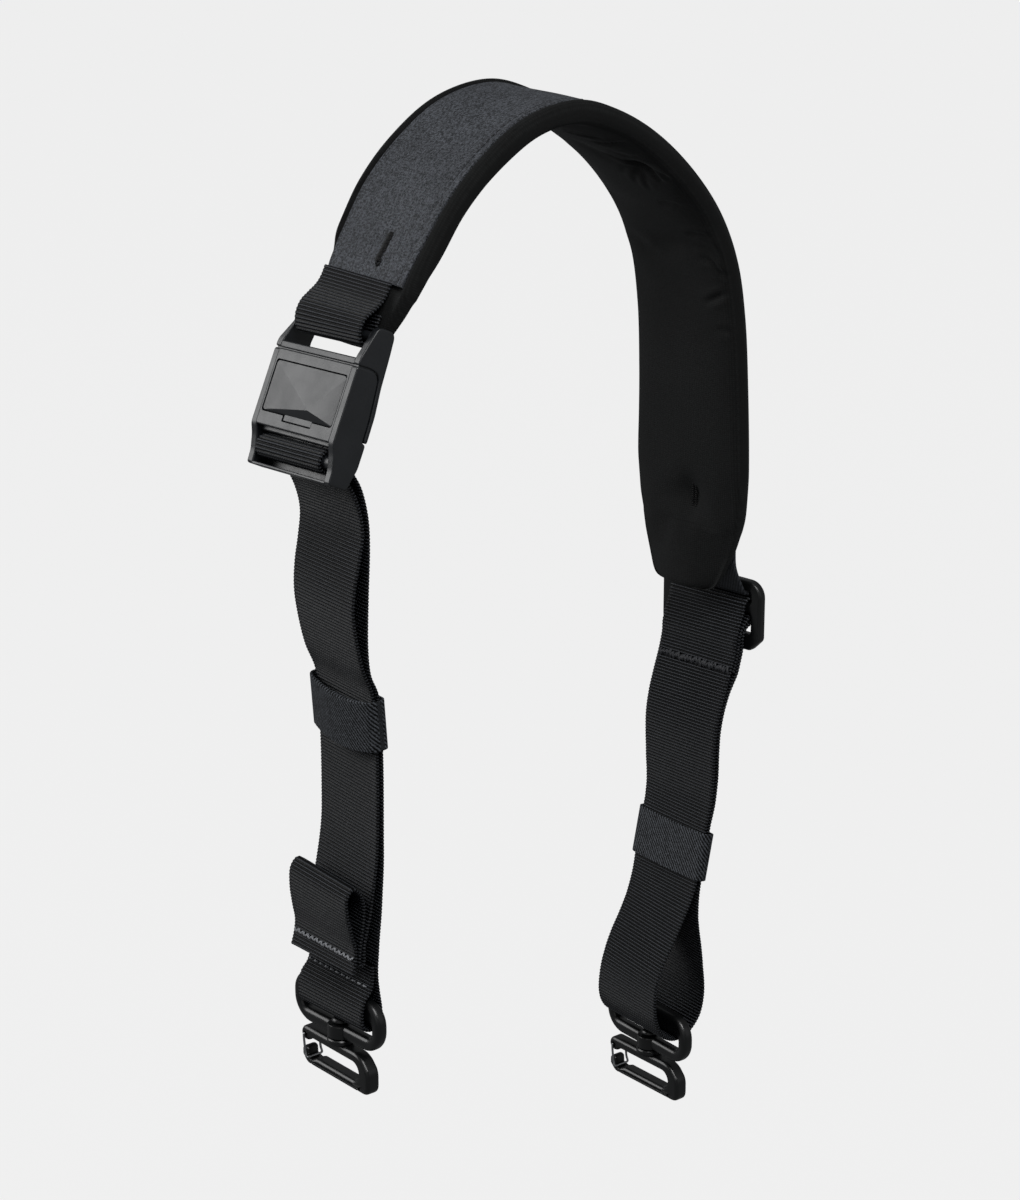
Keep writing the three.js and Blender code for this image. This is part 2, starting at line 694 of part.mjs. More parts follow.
const strap = new THREE.Group();
strap.add(piece("pad_core", padCore(), "foam"));
strap.add(piece("pad_cover", padCover(), "woven"));
strap.add(piece("upper_loop", webbing(UPPER_LOOP_ROWS, LOOP_LIE, 3), "webbing"));
strap.add(buckle());
strap.add(piece("left_webbing", webbing(LEFT_ROWS, LEFT_LIE, 3), "webbing"));
strap.add(piece("left_keeper", keeper(), "elastic", { x: -86.15, z: -205, lean: -4.2, yaw: -4 }));
strap.add(endFitting("left", LEFT_RING));
strap.add(piece("right_slider", slider(), "plastic", SLIDER_AT));
strap.add(piece("right_webbing", webbing(RIGHT_ROWS, RIGHT_LIE, 3), "webbing"));
strap.add(piece("right_keeper", keeper(), "elastic", { x: 75.05, z: -300.2, lean: 11.6, yaw: -1.8 }));
strap.add(endFitting("right", RIGHT_RING));

export default strap;
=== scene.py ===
"""Padded crossbody strap: foam shoulder pad with a woven panel, ribbed nylon webbing, a moulded
release buckle, a slider, elastic keepers, and a ring with a wire-gate hook at each end.

Every size and place is in millimetres in the strap's own frame, +Z up, and turns to metres where
a mesh is made. The pieces that bend are sheets or padded forms built on the strap's own routes,
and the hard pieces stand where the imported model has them.
"""

import logging
import math
from dataclasses import dataclass, field
from enum import Enum
from functools import partial
from typing import Callable, NamedTuple

import bmesh
import bpy
import numpy as np
from bpy.types import Material, Mesh, Node, NodeSocket, NodeTree, Object
from mathutils import Matrix, Vector
from mathutils.geometry import tessellate_polygon


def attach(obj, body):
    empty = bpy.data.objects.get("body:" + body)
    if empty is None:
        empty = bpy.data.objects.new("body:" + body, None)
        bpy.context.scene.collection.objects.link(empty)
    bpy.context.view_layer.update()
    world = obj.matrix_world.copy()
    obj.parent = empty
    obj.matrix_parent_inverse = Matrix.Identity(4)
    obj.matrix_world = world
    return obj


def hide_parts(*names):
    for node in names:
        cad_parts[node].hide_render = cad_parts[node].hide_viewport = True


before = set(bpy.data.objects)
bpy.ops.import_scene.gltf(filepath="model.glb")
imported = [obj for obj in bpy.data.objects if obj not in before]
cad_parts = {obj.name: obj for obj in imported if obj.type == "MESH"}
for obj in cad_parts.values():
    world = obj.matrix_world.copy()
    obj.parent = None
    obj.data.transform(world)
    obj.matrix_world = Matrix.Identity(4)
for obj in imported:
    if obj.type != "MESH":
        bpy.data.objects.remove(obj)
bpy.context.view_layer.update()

MM = 0.001
log = logging.getLogger("strap")


# ---- tables of the strap's routes


class Lie(NamedTuple):
    """How a strand lies at a height: its turn about the vertical and its near edge's rise."""

    z: float
    yaw: float
    tilt: float


class PadRow(NamedTuple):
    """One section of the pad: its middle, its near and far half widths, and its thickness."""

    x: float
    z: float
    near: float
    far: float
    thick: float


LOOP_LIE = (Lie(-53, 0, 0), Lie(-62, 0, 3))
LEFT_LIE = (
    Lie(-108, 0, 3), Lie(-135, -1, 0), Lie(-160, -3, 0), Lie(-192, -4, 0), Lie(-218, -4, 0),
    Lie(-250, -4.5, 0), Lie(-270, -3.5, 0), Lie(-295, 0, 0), Lie(-320, 2, 0),
)
RIGHT_LIE = (
    Lie(-60, 0, 0), Lie(-165, 4, 0), Lie(-185, 6, 0), Lie(-200, 8, 0), Lie(-240, 6, 0),
    Lie(-270, 3, 0), Lie(-288, -1.8, 0), Lie(-312, -1.8, 0), Lie(-328, -7, 0),
    Lie(-350, -8, 0), Lie(-370, -3, 0),
)

PAD_ROWS = tuple(PadRow(*row) for row in (
    (-83.0, -69.5, 15, 12, 6), (-82.4, -67.5, 17.5, 14.5, 6.5), (-80.9, -62.5, 20.5, 17, 7),
    (-77.0, -54, 24.5, 19, 8.2), (-73.0, -46.5, 27, 20.5, 9.4), (-64.5, -35, 28, 24.5, 10),
    (-54.3, -21.7, 28, 27.4, 10), (-41.5, -9.8, 28, 28, 10), (-22.5, 1.6, 28, 28, 10),
    (0, 5, 28, 28, 10), (17, -0.1, 28, 28, 10), (34.5, -9.9, 28, 28, 10), (52, -25, 28, 28, 10),
    (66, -42.5, 28, 28, 10), (74.5, -61, 28, 28, 10), (78.5, -82, 28, 28, 10),
    (80.5, -110, 28, 28, 10), (81.5, -145, 28, 28, 10), (81.3, -160, 26.5, 26.5, 10),
    (80.6, -175, 22.5, 22.5, 9), (79.5, -185.5, 18, 18, 8), (78.7, -191.8, 15, 15, 7),
    (78.5, -193.5, 12.5, 12.5, 6),
))

# Places that each strand passes through, as x and z.
UPPER_LOOP_STOPS = (
    (-78.9, -44.8), (-80.9, -48.6), (-83.2, -51.2), (-86.5, -53.4), (-90.0, -55.7), (-92.2, -59.2),
    (-92.5, -62.5), (-91.6, -64.9), (-89.2, -65.9), (-86.9, -64.9), (-85.8, -62.5), (-85.7, -60.9),
    (-84.8, -58.3), (-83.4, -55.5),
)

LEFT_STOPS = (
    (-91.2, -299), (-91.3, -304), (-92.7, -309), (-95.7, -312.7), (-96.9, -318.5), (-96.0, -323.3),
    (-92.5, -324.7), (-89.0, -323.3), (-88.1, -318.5), (-89.0, -309.5), (-89.4, -303),
    (-88.4, -292), (-86.2, -277), (-84.6, -260), (-84.2, -240), (-84.3, -216), (-85.1, -205),
    (-85.9, -194), (-89.2, -186), (-90.4, -176), (-90.2, -157), (-89.8, -137), (-90.5, -127),
    (-93.6, -116), (-98.6, -108.4), (-103.2, -103.2), (-106.4, -100.8), (-109.9, -101.8),
    (-111.0, -104.8), (-109.6, -107.2), (-106.6, -108.0), (-101.5, -110.5), (-96.9, -116.8),
    (-93.7, -124.5), (-92.4, -132.5), (-93.8, -142), (-95.6, -150.5), (-96.5, -160.5),
    (-95.4, -170), (-92.4, -183), (-88.0, -194), (-87.2, -205), (-86.4, -216), (-86.3, -240),
    (-87.0, -256), (-89.5, -271), (-91.0, -278), (-92.9, -284.5), (-94.6, -290.5), (-95.1, -296.6),
    (-95.4, -297.35), (-96.1, -297.7), (-96.8, -297.35), (-97.1, -296.6), (-96.5, -290.5),
    (-95.3, -285), (-94.2, -279.5), (-93.8, -274), (-95.2, -269), (-98.3, -266.3), (-101.1, -269),
    (-101.4, -276), (-100.0, -284), (-98.6, -290.5), (-99.1, -296), (-100.3, -300.3),
)

RIGHT_STOPS = (
    (87.0, -168), (86.4, -176), (86.6, -183), (88.2, -188), (90.1, -192), (91.9, -195.4),
    (95.3, -196.5), (98.9, -198.1), (100.6, -202), (99.3, -205.7), (96.0, -208.3), (92.6, -210.6),
    (91.4, -214.2), (91.2, -218.5), (89.8, -224.5), (88.8, -228), (86.6, -232), (84.7, -235.5),
    (82.2, -242.5), (80.6, -251), (80.3, -260), (80.4, -268), (80.0, -280), (79.0, -286),
    (78.0, -290.5), (76.0, -300.2), (74.0, -310), (73.6, -320), (75.0, -332), (76.8, -342),
    (78.0, -352), (77.6, -362.5), (74.6, -371), (69.5, -376), (64.0, -377.6), (60.0, -377),
    (55.2, -373.8), (52.1, -367), (51.8, -358), (53.3, -350), (57.0, -342), (61.4, -335),
    (65.8, -327), (69.4, -319), (72.1, -310), (74.1, -300.2), (76.1, -290.5), (77.1, -286),
    (78.1, -280), (78.4, -268), (78.3, -260), (78.6, -251), (80.2, -242.5), (82.6, -234.5),
    (85.9, -224.5), (87.3, -218.5), (87.6, -214.3), (89.4, -208), (91.1, -203.8), (92.1, -199.8),
    (95.0, -198.3), (98.0, -199.9), (98.7, -202.2), (97.6, -204.7), (95.0, -205.9), (91.3, -209.7),
    (89.5, -214), (89.2, -218.5), (87.85, -224.5), (86.8, -227.5),
)


# ---- node and mesh helpers


def linear(hex_colour: str) -> tuple[float, float, float, float]:
    """Turns an sRGB hex colour into linear red, green, blue and alpha."""
    parts = [int(hex_colour[i : i + 2], 16) / 255 for i in (1, 3, 5)]
    curve = [c / 12.92 if c <= 0.04045 else ((c + 0.055) / 1.055) ** 2.4 for c in parts]
    return (*curve, 1.0)


def add_node(tree: NodeTree, kind: str, sockets: dict | None = None, **settings) -> Node:
    """Adds a shader node.

    Args:
        tree: The node tree that it goes into.
        kind: The node's type name without its ShaderNode prefix.
        sockets: Value, source node or source socket for each input, by name or number.
        **settings: The node's own settings.

    Returns:
        The new node.
    """
    made = tree.nodes.new("ShaderNode" + kind)
    for name, value in settings.items():
        setattr(made, name, value)
    for key, value in (sockets or {}).items():
        if isinstance(value, Node):
            value = value.outputs[0]
        if isinstance(value, NodeSocket):
            tree.links.new(value, made.inputs[key])
        else:
            made.inputs[key].default_value = value
    return made


class Operation(Enum):
    """How one solid changes another."""

    JOIN = "UNION"
    CUT = "DIFFERENCE"


@dataclass
class Form:
    """A closed or open shape as corners in millimetres and faces.

    Args:
        corners: Array of points, one row each.
        faces: Corner numbers of each face.
    """

    corners: np.ndarray
    faces: list

    def moved(self, matrix: Matrix) -> "Form":
        """The same shape under a transform."""
        rotation = np.array(matrix.to_3x3())
        shift = np.array(matrix.to_translation())
        return Form(self.corners @ rotation.T + shift, self.faces)

    def outward(self) -> "Form":
        """The same shape with its faces turned to point out of it."""
        volume = 0.0
        for face in self.faces:
            first = self.corners[face[0]]
            for b, c in zip(face[1:], face[2:]):
                volume += float(np.dot(first, np.cross(self.corners[b], self.corners[c])))
        if volume >= 0:
            return self
        return Form(self.corners, [tuple(reversed(face)) for face in self.faces])

    def mesh(self, name: str) -> Mesh:
        """A Blender mesh of the shape, in metres.

        Args:
            name: The mesh's name.

        Returns:
            The mesh.
        """
        made = bpy.data.meshes.new(name)
        made.from_pydata((self.corners * MM).tolist(), [], [tuple(f) for f in self.faces])
        made.update()
        return made


def place(name: str, form: Form) -> Object:
    """Puts a shape into the scene as an object."""
    made = bpy.data.objects.new(name, form.mesh(name))
    bpy.context.scene.collection.objects.link(made)
    return made


def settle(piece: Object) -> None:
    """Applies a piece's modifiers to its mesh.

    Args:
        piece: The piece.
    """
    bpy.context.view_layer.update()
    shown = piece.evaluated_get(bpy.context.evaluated_depsgraph_get())
    fresh = bpy.data.meshes.new_from_object(shown)
    piece.modifiers.clear()
    piece.data = fresh


def combine(base: Form, joined: list, cut: list | None = None) -> Form:
    """Joins shapes to a base shape, and then cuts others out of it.

    Args:
        base: The shape to start from.
        joined: Shapes that join it.
        cut: Shapes that are cut out.

    Returns:
        The combined shape.
    """
    body = place("base", base.outward())
    changes = [(shape, Operation.JOIN) for shape in joined]
    changes += [(shape, Operation.CUT) for shape in cut or []]
    tools = []
    for number, (shape, operation) in enumerate(changes):
        tool = place(f"tool_{number}", shape.outward())
        step = body.modifiers.new("step", "BOOLEAN")
        step.object, step.operation, step.solver = tool, operation.value, "EXACT"
        tools.append(tool)
    settle(body)
    mesh = body.data
    corners = np.array([v.co for v in mesh.vertices]) / MM
    faces = [tuple(p.vertices) for p in mesh.polygons]
    for spent in [body, *tools]:
        bpy.data.objects.remove(spent)
    return Form(corners, faces)


# A flat face that a boolean step leaves has more corners than this, and this many square
# millimetres or more.
FLAT_FACE_CORNERS = 6
FLAT_FACE_AREA = 6.0


def turn(degrees: float, axis: str) -> Matrix:
    """Turn about an axis."""
    return Matrix.Rotation(math.radians(degrees), 4, axis)


def standing(x: float, z: float, yaw: float = 0.0, lean: float = 0.0) -> Matrix:
    """Where a hard piece stands: its place, its turn about Z, and its turn about Y."""
    return Matrix.Translation((x, 0, z)) @ turn(yaw, "Z") @ turn(lean, "Y")


def moulded(name: str, form: Form, matrix: Matrix, sharp_over: float = 32.0,
            weighted: bool = True) -> Object:
    """Puts a hard piece into the scene, shaded smooth but for its sharp edges and flat faces.

    Args:
        name: The piece's name.
        form: Its shape.
        matrix: Where it stands.
        sharp_over: Least angle of a sharp edge, in degrees.
        weighted: Whether large faces decide how the edges between them are shaded.

    Returns:
        The piece, still without its finish.
    """
    made = place(name, form.moved(matrix))
    made.data.shade_smooth()
    for face in made.data.polygons:
        many_corners = len(face.vertices) > FLAT_FACE_CORNERS
        face.use_smooth = not (many_corners and face.area > FLAT_FACE_AREA * MM**2)
    made.data.set_sharp_from_angle(angle=math.radians(sharp_over))
    if weighted:
        step = made.modifiers.new("flat faces", "WEIGHTED_NORMAL")
        step.keep_sharp = True
    return made


# ---- outlines and plates


def arc(centre: tuple, radius: float, start: float, stop: float, steps: int = 10) -> list:
    """Points along a circular arc, angles in degrees."""
    angles = np.radians(np.linspace(start, stop, steps + 1))
    return [(centre[0] + radius * math.cos(a), centre[1] + radius * math.sin(a)) for a in angles]


def bend(start: tuple, pull: tuple, stop: tuple, steps: int = 8) -> list:
    """Points along a quadratic curve.

    Args:
        start: Where it starts.
        pull: The point that it is pulled towards.
        stop: Where it ends.
        steps: How many points.

    Returns:
        The points after the start.
    """
    made = []
    for t in np.linspace(0, 1, steps + 1)[1:]:
        weights = ((1 - t) ** 2, 2 * t * (1 - t), t**2)
        point = [sum(w * p[i] for w, p in zip(weights, (start, pull, stop))) for i in (0, 1)]
        made.append(tuple(point))
    return made


def rounded_rectangle(
    width: float, height: float, radius: float, lower: float | None = None, steps: int = 8
) -> list:
    """Outline of a rectangle with round corners.

    Args:
        width: Its width.
        height: Its height.
        radius: Radius of its corners.
        lower: Radius of the lower two, where they have one of their own.
        steps: Points in each corner.

    Returns:
        The outline, about the rectangle's middle.
    """
    lower = radius if lower is None else lower
    w, h = width / 2, height / 2
    return [
        *arc((w - lower, -h + lower), lower, -90, 0, steps),
        *arc((w - radius, h - radius), radius, 0, 90, steps),
        *arc((-w + radius, h - radius), radius, 90, 180, steps),
        *arc((-w + lower, -h + lower), lower, 180, 270, steps),
    ]


def soften(points: list, radius: float, steps: int = 5) -> list:
    """Rounds each corner of an outline.

    Args:
        points: The outline's corners.
        radius: How far from a corner its round part starts, at most.
        steps: Points in each round part.

    Returns:
        The rounded outline.
    """
    made = []
    corners = [Vector(p) for p in points]
    for i, corner in enumerate(corners):
        before = corners[i - 1] - corner
        after = corners[(i + 1) % len(corners)] - corner
        start = corner + before.normalized() * min(radius, before.length * 0.45)
        stop = corner + after.normalized() * min(radius, after.length * 0.45)
        made += [tuple(start), *bend(tuple(start), tuple(corner), tuple(stop), steps)]
    return made


def shifted(points: list, across: float, up: float) -> list:
    """An outline moved sideways and up."""
    return [(a + across, b + up) for a, b in points]


def unit(rows: np.ndarray) -> np.ndarray:
    """Directions at a length of one."""
    return rows / np.linalg.norm(rows, axis=1)[:, None]


def inset(points: np.ndarray, distance: float) -> np.ndarray:
    """Moves an outline into the material on its left.

    Args:
        points: The outline.
        distance: How far.

    Returns:
        The moved outline, point for point.
    """
    ahead = unit(np.roll(points, -1, axis=0) - points)
    behind = np.roll(ahead, 1, axis=0)
    left = np.stack([-(ahead + behind)[:, 1], (ahead + behind)[:, 0]], axis=1)
    left /= np.maximum(np.linalg.norm(left, axis=1), 1e-9)[:, None]
    own = np.stack([-ahead[:, 1], ahead[:, 0]], axis=1)
    spread = np.maximum((left * own).sum(axis=1), 0.5)
    return points + left * (distance / spread)[:, None]


def wound(points: list, anticlockwise: bool) -> np.ndarray:
    """Drops an outline's repeated points and winds it one way.

    Args:
        points: The outline.
        anticlockwise: Which way.

    Returns:
        The outline.
    """
    kept = [p for i, p in enumerate(points) if math.dist(p, points[i - 1]) > 1e-4]
    array = np.array(kept, float)
    after = np.roll(array, -1, axis=0)
    area = float((array[:, 0] * after[:, 1] - array[:, 1] * after[:, 0]).sum())
    return array if (area > 0) == anticlockwise else array[::-1]


def quads(near: int, far: int, count: int) -> list:
    """Faces between two rings of corners, from the numbers that the rings start at."""
    ahead = [(j + 1) % count for j in range(count)]
    return [(near + j, near + k, far + k, far + j) for j, k in enumerate(ahead)]


def skin_faces(rings: int, sides: int) -> list:
    """Faces of a closed skin through rings of corners.

    Args:
        rings: How many rings it has.
        sides: Corners in each ring.

    Returns:
        The faces, with the first and last ring filled.
    """
    last = (rings - 1) * sides
    faces = [face for low in range(0, last, sides) for face in quads(low, low + sides, sides)]
    return [*faces, tuple(reversed(range(sides))), tuple(range(last, last + sides))]


def plate(outer: list, holes: list, thick: float, ease: float, steps: int = 4) -> Form:
    """Flat plate with rounded edges, drawn across (Y) and up (Z), with its thickness along X.

    Args:
        outer: The plate's outline.
        holes: Outlines of its openings.
        thick: Its thickness.
        ease: Radius of its edges.
        steps: Facets in each rounded edge.

    Returns:
        The closed plate, centred on X = 0.
    """
    loops = [wound(outer, True)] + [wound(hole, False) for hole in holes]
    turns = np.radians(np.linspace(0, 90, steps + 1))
    profile = [(ease * (1 - math.sin(t)), -thick / 2 + ease * (1 - math.cos(t))) for t in turns]
    profile += [(depth, -height) for depth, height in reversed(profile)]
    corners, faces, caps = [], [], [[], []]
    for loop in loops:
        base, count = len(corners), len(loop)
        last = base + (len(profile) - 1) * count
        for depth, height in profile:
            corners += [(height, a, b) for a, b in inset(loop, depth)]
        for low in range(base, last, count):
            faces += quads(low, low + count, count)
        caps[0].append(range(base, base + count))
        caps[1].append(range(last, last + count))
    for side, cap in enumerate(caps):
        numbers = [n for ring in cap for n in ring]
        drawn = [[Vector((*corners[n][1:], 0)) for n in ring] for ring in cap]
        for triangle in tessellate_polygon(drawn):
            a, b, c = (numbers[i] for i in triangle)
            flat = Vector(corners[b]) - Vector(corners[a])
            facing = flat.cross(Vector(corners[c]) - Vector(corners[a])).x > 0
            faces.append((a, b, c) if facing == (side == 1) else (a, c, b))
    return Form(np.array(corners, float), faces).outward()


def turned_bar(profile: list, sides: int = 40) -> Form:
    """Round solid about the Z axis, its ends closed flat.

    Args:
        profile: Pairs of radius and height.
        sides: Facets around it.

    Returns:
        The closed solid.
    """
    angles = np.linspace(0, 2 * math.pi, sides, endpoint=False)
    corners = [(r * math.cos(a), r * math.sin(a), z) for r, z in profile for a in angles]
    return Form(np.array(corners, float), skin_faces(len(profile), sides)).outward()


def tube(points: np.ndarray, radius: float, sides: int = 12) -> Form:
    """Round rod along a line of points, with closed ends.

    Args:
        points: The rod's middle line.
        radius: Its radius.
        sides: Facets around it.

    Returns:
        The closed rod.
    """
    ahead = unit(np.gradient(points, axis=0))
    side = Vector((0.3, 0.2, 1.0))
    rings = []
    for point, along in zip(points, ahead):
        along = Vector(along)
        side = (side - along * side.dot(along)).normalized()
        other = along.cross(side)
        for a in np.linspace(0, 2 * math.pi, sides, endpoint=False):
            rings.append(Vector(point) + radius * (math.cos(a) * side + math.sin(a) * other))
    corners = np.array([tuple(p) for p in rings])
    return Form(corners, skin_faces(len(points), sides)).outward()


# ---- routes of cloth


def centripetal(points: np.ndarray, per_span: int) -> np.ndarray:
    """Points along the smooth centripetal curve through a table's rows.

    Args:
        points: One row for each place that the curve passes.
        per_span: Points from each row to the next.

    Returns:
        The curve's points, the last row included.
    """
    padded = np.vstack([2 * points[0] - points[1], points, 2 * points[-1] - points[-2]])
    w = np.linspace(0, 1, per_span, endpoint=False)[:, None]
    made = []
    for a, b, c, d in zip(padded, padded[1:], padded[2:], padded[3:]):
        k0, k1, k2 = (math.sqrt(np.linalg.norm(q - p)) for p, q in ((a, b), (b, c), (c, d)))
        k1 = k1 if k1 > 1e-4 else 1.0
        k0 = k0 if k0 > 1e-4 else k1
        k2 = k2 if k2 > 1e-4 else k1
        leave = ((b - a) / k0 - (c - a) / (k0 + k1) + (c - b) / k1) * k1
        reach = ((c - b) / k1 - (d - b) / (k1 + k2) + (d - c) / k2) * k1
        bow = -3 * b + 3 * c - 2 * leave - reach
        made.append(b + leave * w + bow * w**2 + (2 * b - 2 * c + leave + reach) * w**3)
    return np.vstack([*made, points[-1:]])


@dataclass
class Places:
    """Points along a strand with their directions.

    Args:
        middle: Point on the middle line.
        across: Direction towards the near edge.
        out: Direction out of the outer face.
    """

    middle: np.ndarray
    across: np.ndarray
    out: np.ndarray

    def skin(self, u: np.ndarray, v: np.ndarray) -> Form:
        """Closed skin along the strand.

        Args:
            u: Distances across, one row for each place.
            v: Distances out.

        Returns:
            The skin, with both ends filled.
        """
        corners = (self.middle[:, None] + self.across[:, None] * u[..., None]
                   + self.out[:, None] * v[..., None])
        return Form(corners.reshape(-1, 3), skin_faces(*u.shape))


class Route:
    """Smooth line of a strand with the way that it lies."""

    PER_SPAN = 30

    def __init__(self, stops: tuple, lies: tuple) -> None:
        """Works the line out.

        Args:
            stops: Rows that start with x and z.
            lies: How the strand lies at each height.
        """
        table = np.array([(row[0], 0.0, row[1]) for row in stops], float)
        self.line = centripetal(table, self.PER_SPAN)
        steps = np.linalg.norm(np.diff(self.line, axis=0), axis=1)
        self.runs = np.concatenate([[0.0], np.cumsum(steps)])
        self.share = np.linspace(0, 1, len(self.line))
        self.lies = np.array(lies, float)[::-1]
        self.tangent = unit(np.gradient(self.line, axis=0))

    @property
    def length(self) -> float:
        """Length of the strand's middle line."""
        return float(self.runs[-1])

    def spread(self, values: np.ndarray, run: np.ndarray) -> np.ndarray:
        """Values of the dense line at distances from the start."""
        columns = np.atleast_2d(values.T)
        made = np.stack([np.interp(run, self.runs, column) for column in columns], axis=-1)
        return made[..., 0] if values.ndim == 1 else made

    def places(self, run: np.ndarray) -> Places:
        """Points and directions along the strand.

        Args:
            run: Distances from the start.

        Returns:
            The places at those distances.
        """
        middle = self.spread(self.line, run)
        tangent = self.spread(self.tangent, run)
        yaw = np.radians(np.interp(middle[:, 2], self.lies[:, 0], self.lies[:, 1]))
        tilt = np.radians(np.interp(middle[:, 2], self.lies[:, 0], self.lies[:, 2]))
        across = unit(np.stack([np.sin(yaw), -np.cos(yaw), np.sin(tilt)], axis=1))
        return Places(middle, across, unit(np.cross(across, tangent)))

    def spot(self, run: float, u: float, lift: float) -> tuple[np.ndarray, np.ndarray]:
        """Point over one of the strand's faces.

        Args:
            run: Distance from the start.
            u: Distance from the middle towards the near edge.
            lift: Distance from the middle line, negative on the inner face.

        Returns:
            The point, and the direction out of that face.
        """
        at = self.places(np.array([run]))
        point = at.middle[0] + at.across[0] * u + at.out[0] * lift
        return point, at.out[0] * math.copysign(1.0, lift)


def write_flat(mesh: Mesh, across: np.ndarray, along: np.ndarray, face: np.ndarray) -> None:
    """Stores each corner's place on the flat cloth.

    Args:
        mesh: The cloth's mesh.
        across: Places across the cloth, in millimetres.
        along: Places along it, in millimetres.
        face: A number that keeps the patterns of its two faces apart.
    """
    values = np.stack(np.broadcast_arrays(across, along, face), axis=-1)
    layer = mesh.attributes.new("flat", "FLOAT_VECTOR", "POINT")
    layer.data.foreach_set("vector", values.astype(np.float32).ravel())


@dataclass
class Thread:
    """Sewing thread seen as single stitches, joined into one piece.

    Args:
        name: The piece's name.
        radius: Half the thread's thickness.
        rise: How far a stitch stands proud at its middle.
        corners: Corners of the stitches so far.
        faces: Their faces.
    """

    name: str
    radius: float = 0.3
    rise: float = 0.35
    corners: list = field(default_factory=list)
    faces: list = field(default_factory=list)

    SIDES = 6
    # Rings along one stitch, as share of its length, of its radius and of its rise.
    RINGS = ((0.0, 0.35, -0.9), (0.1, 0.85, -0.1), (0.3, 1.0, 0.75), (0.5, 1.05, 1.0),
             (0.7, 1.0, 0.75), (0.9, 0.85, -0.1), (1.0, 0.35, -0.9))

    def stitch(self, start: np.ndarray, stop: np.ndarray, out: np.ndarray) -> None:
        """Adds one stitch between two points on the cloth.

        Args:
            start: Where the thread comes up.
            stop: Where it goes down.
            out: Direction out of the cloth.
        """
        along = (stop - start) / np.linalg.norm(stop - start)
        side = np.cross(along, out)
        side /= np.linalg.norm(side)
        base = len(self.corners)
        for share, swell, lift in self.RINGS:
            middle = start + (stop - start) * share + out * lift * self.rise
            for angle in np.linspace(0, 2 * math.pi, self.SIDES, endpoint=False):
                spoke = math.cos(angle) * side + math.sin(angle) * out
                self.corners.append(middle + self.radius * swell * spoke)
        ring_faces = skin_faces(len(self.RINGS), self.SIDES)
        self.faces += [tuple(base + n for n in face) for face in ring_faces]

    def piece(self, material: Material, slot: str) -> Object:
        """Makes the joined stitches and lets them ride on the strap.

        Args:
            material: The thread's finish.
            slot: The cloth that they are sewn into.

        Returns:
            The piece.
        """
        made = place(self.name, Form(np.array(self.corners), self.faces))
        bm = bmesh.new()
        bm.from_mesh(made.data)
        bmesh.ops.recalc_face_normals(bm, faces=bm.faces)
        bm.to_mesh(made.data)
        bm.free()
        made.data.shade_smooth()
        return dress(made, material, slot, "strap")


# ---- finishes


def fresh_material(name: str) -> tuple[Material, Callable[..., Node]]:
    """An empty node material.

    Args:
        name: The material's name.

    Returns:
        The material, and add_node for its own node tree.
    """
    made = bpy.data.materials.new(name)
    made.use_nodes = True
    made.node_tree.nodes.clear()
    return made, partial(add_node, made.node_tree)


# Cloth patterns lie on the flat cloth in millimetres, so a noise's scale is its grains to the
# millimetre. At scale 1 a wave's bands are this wide along an axis and along a diagonal.
ONE_BAND = math.pi / 10
ONE_SLANT = math.pi / 5


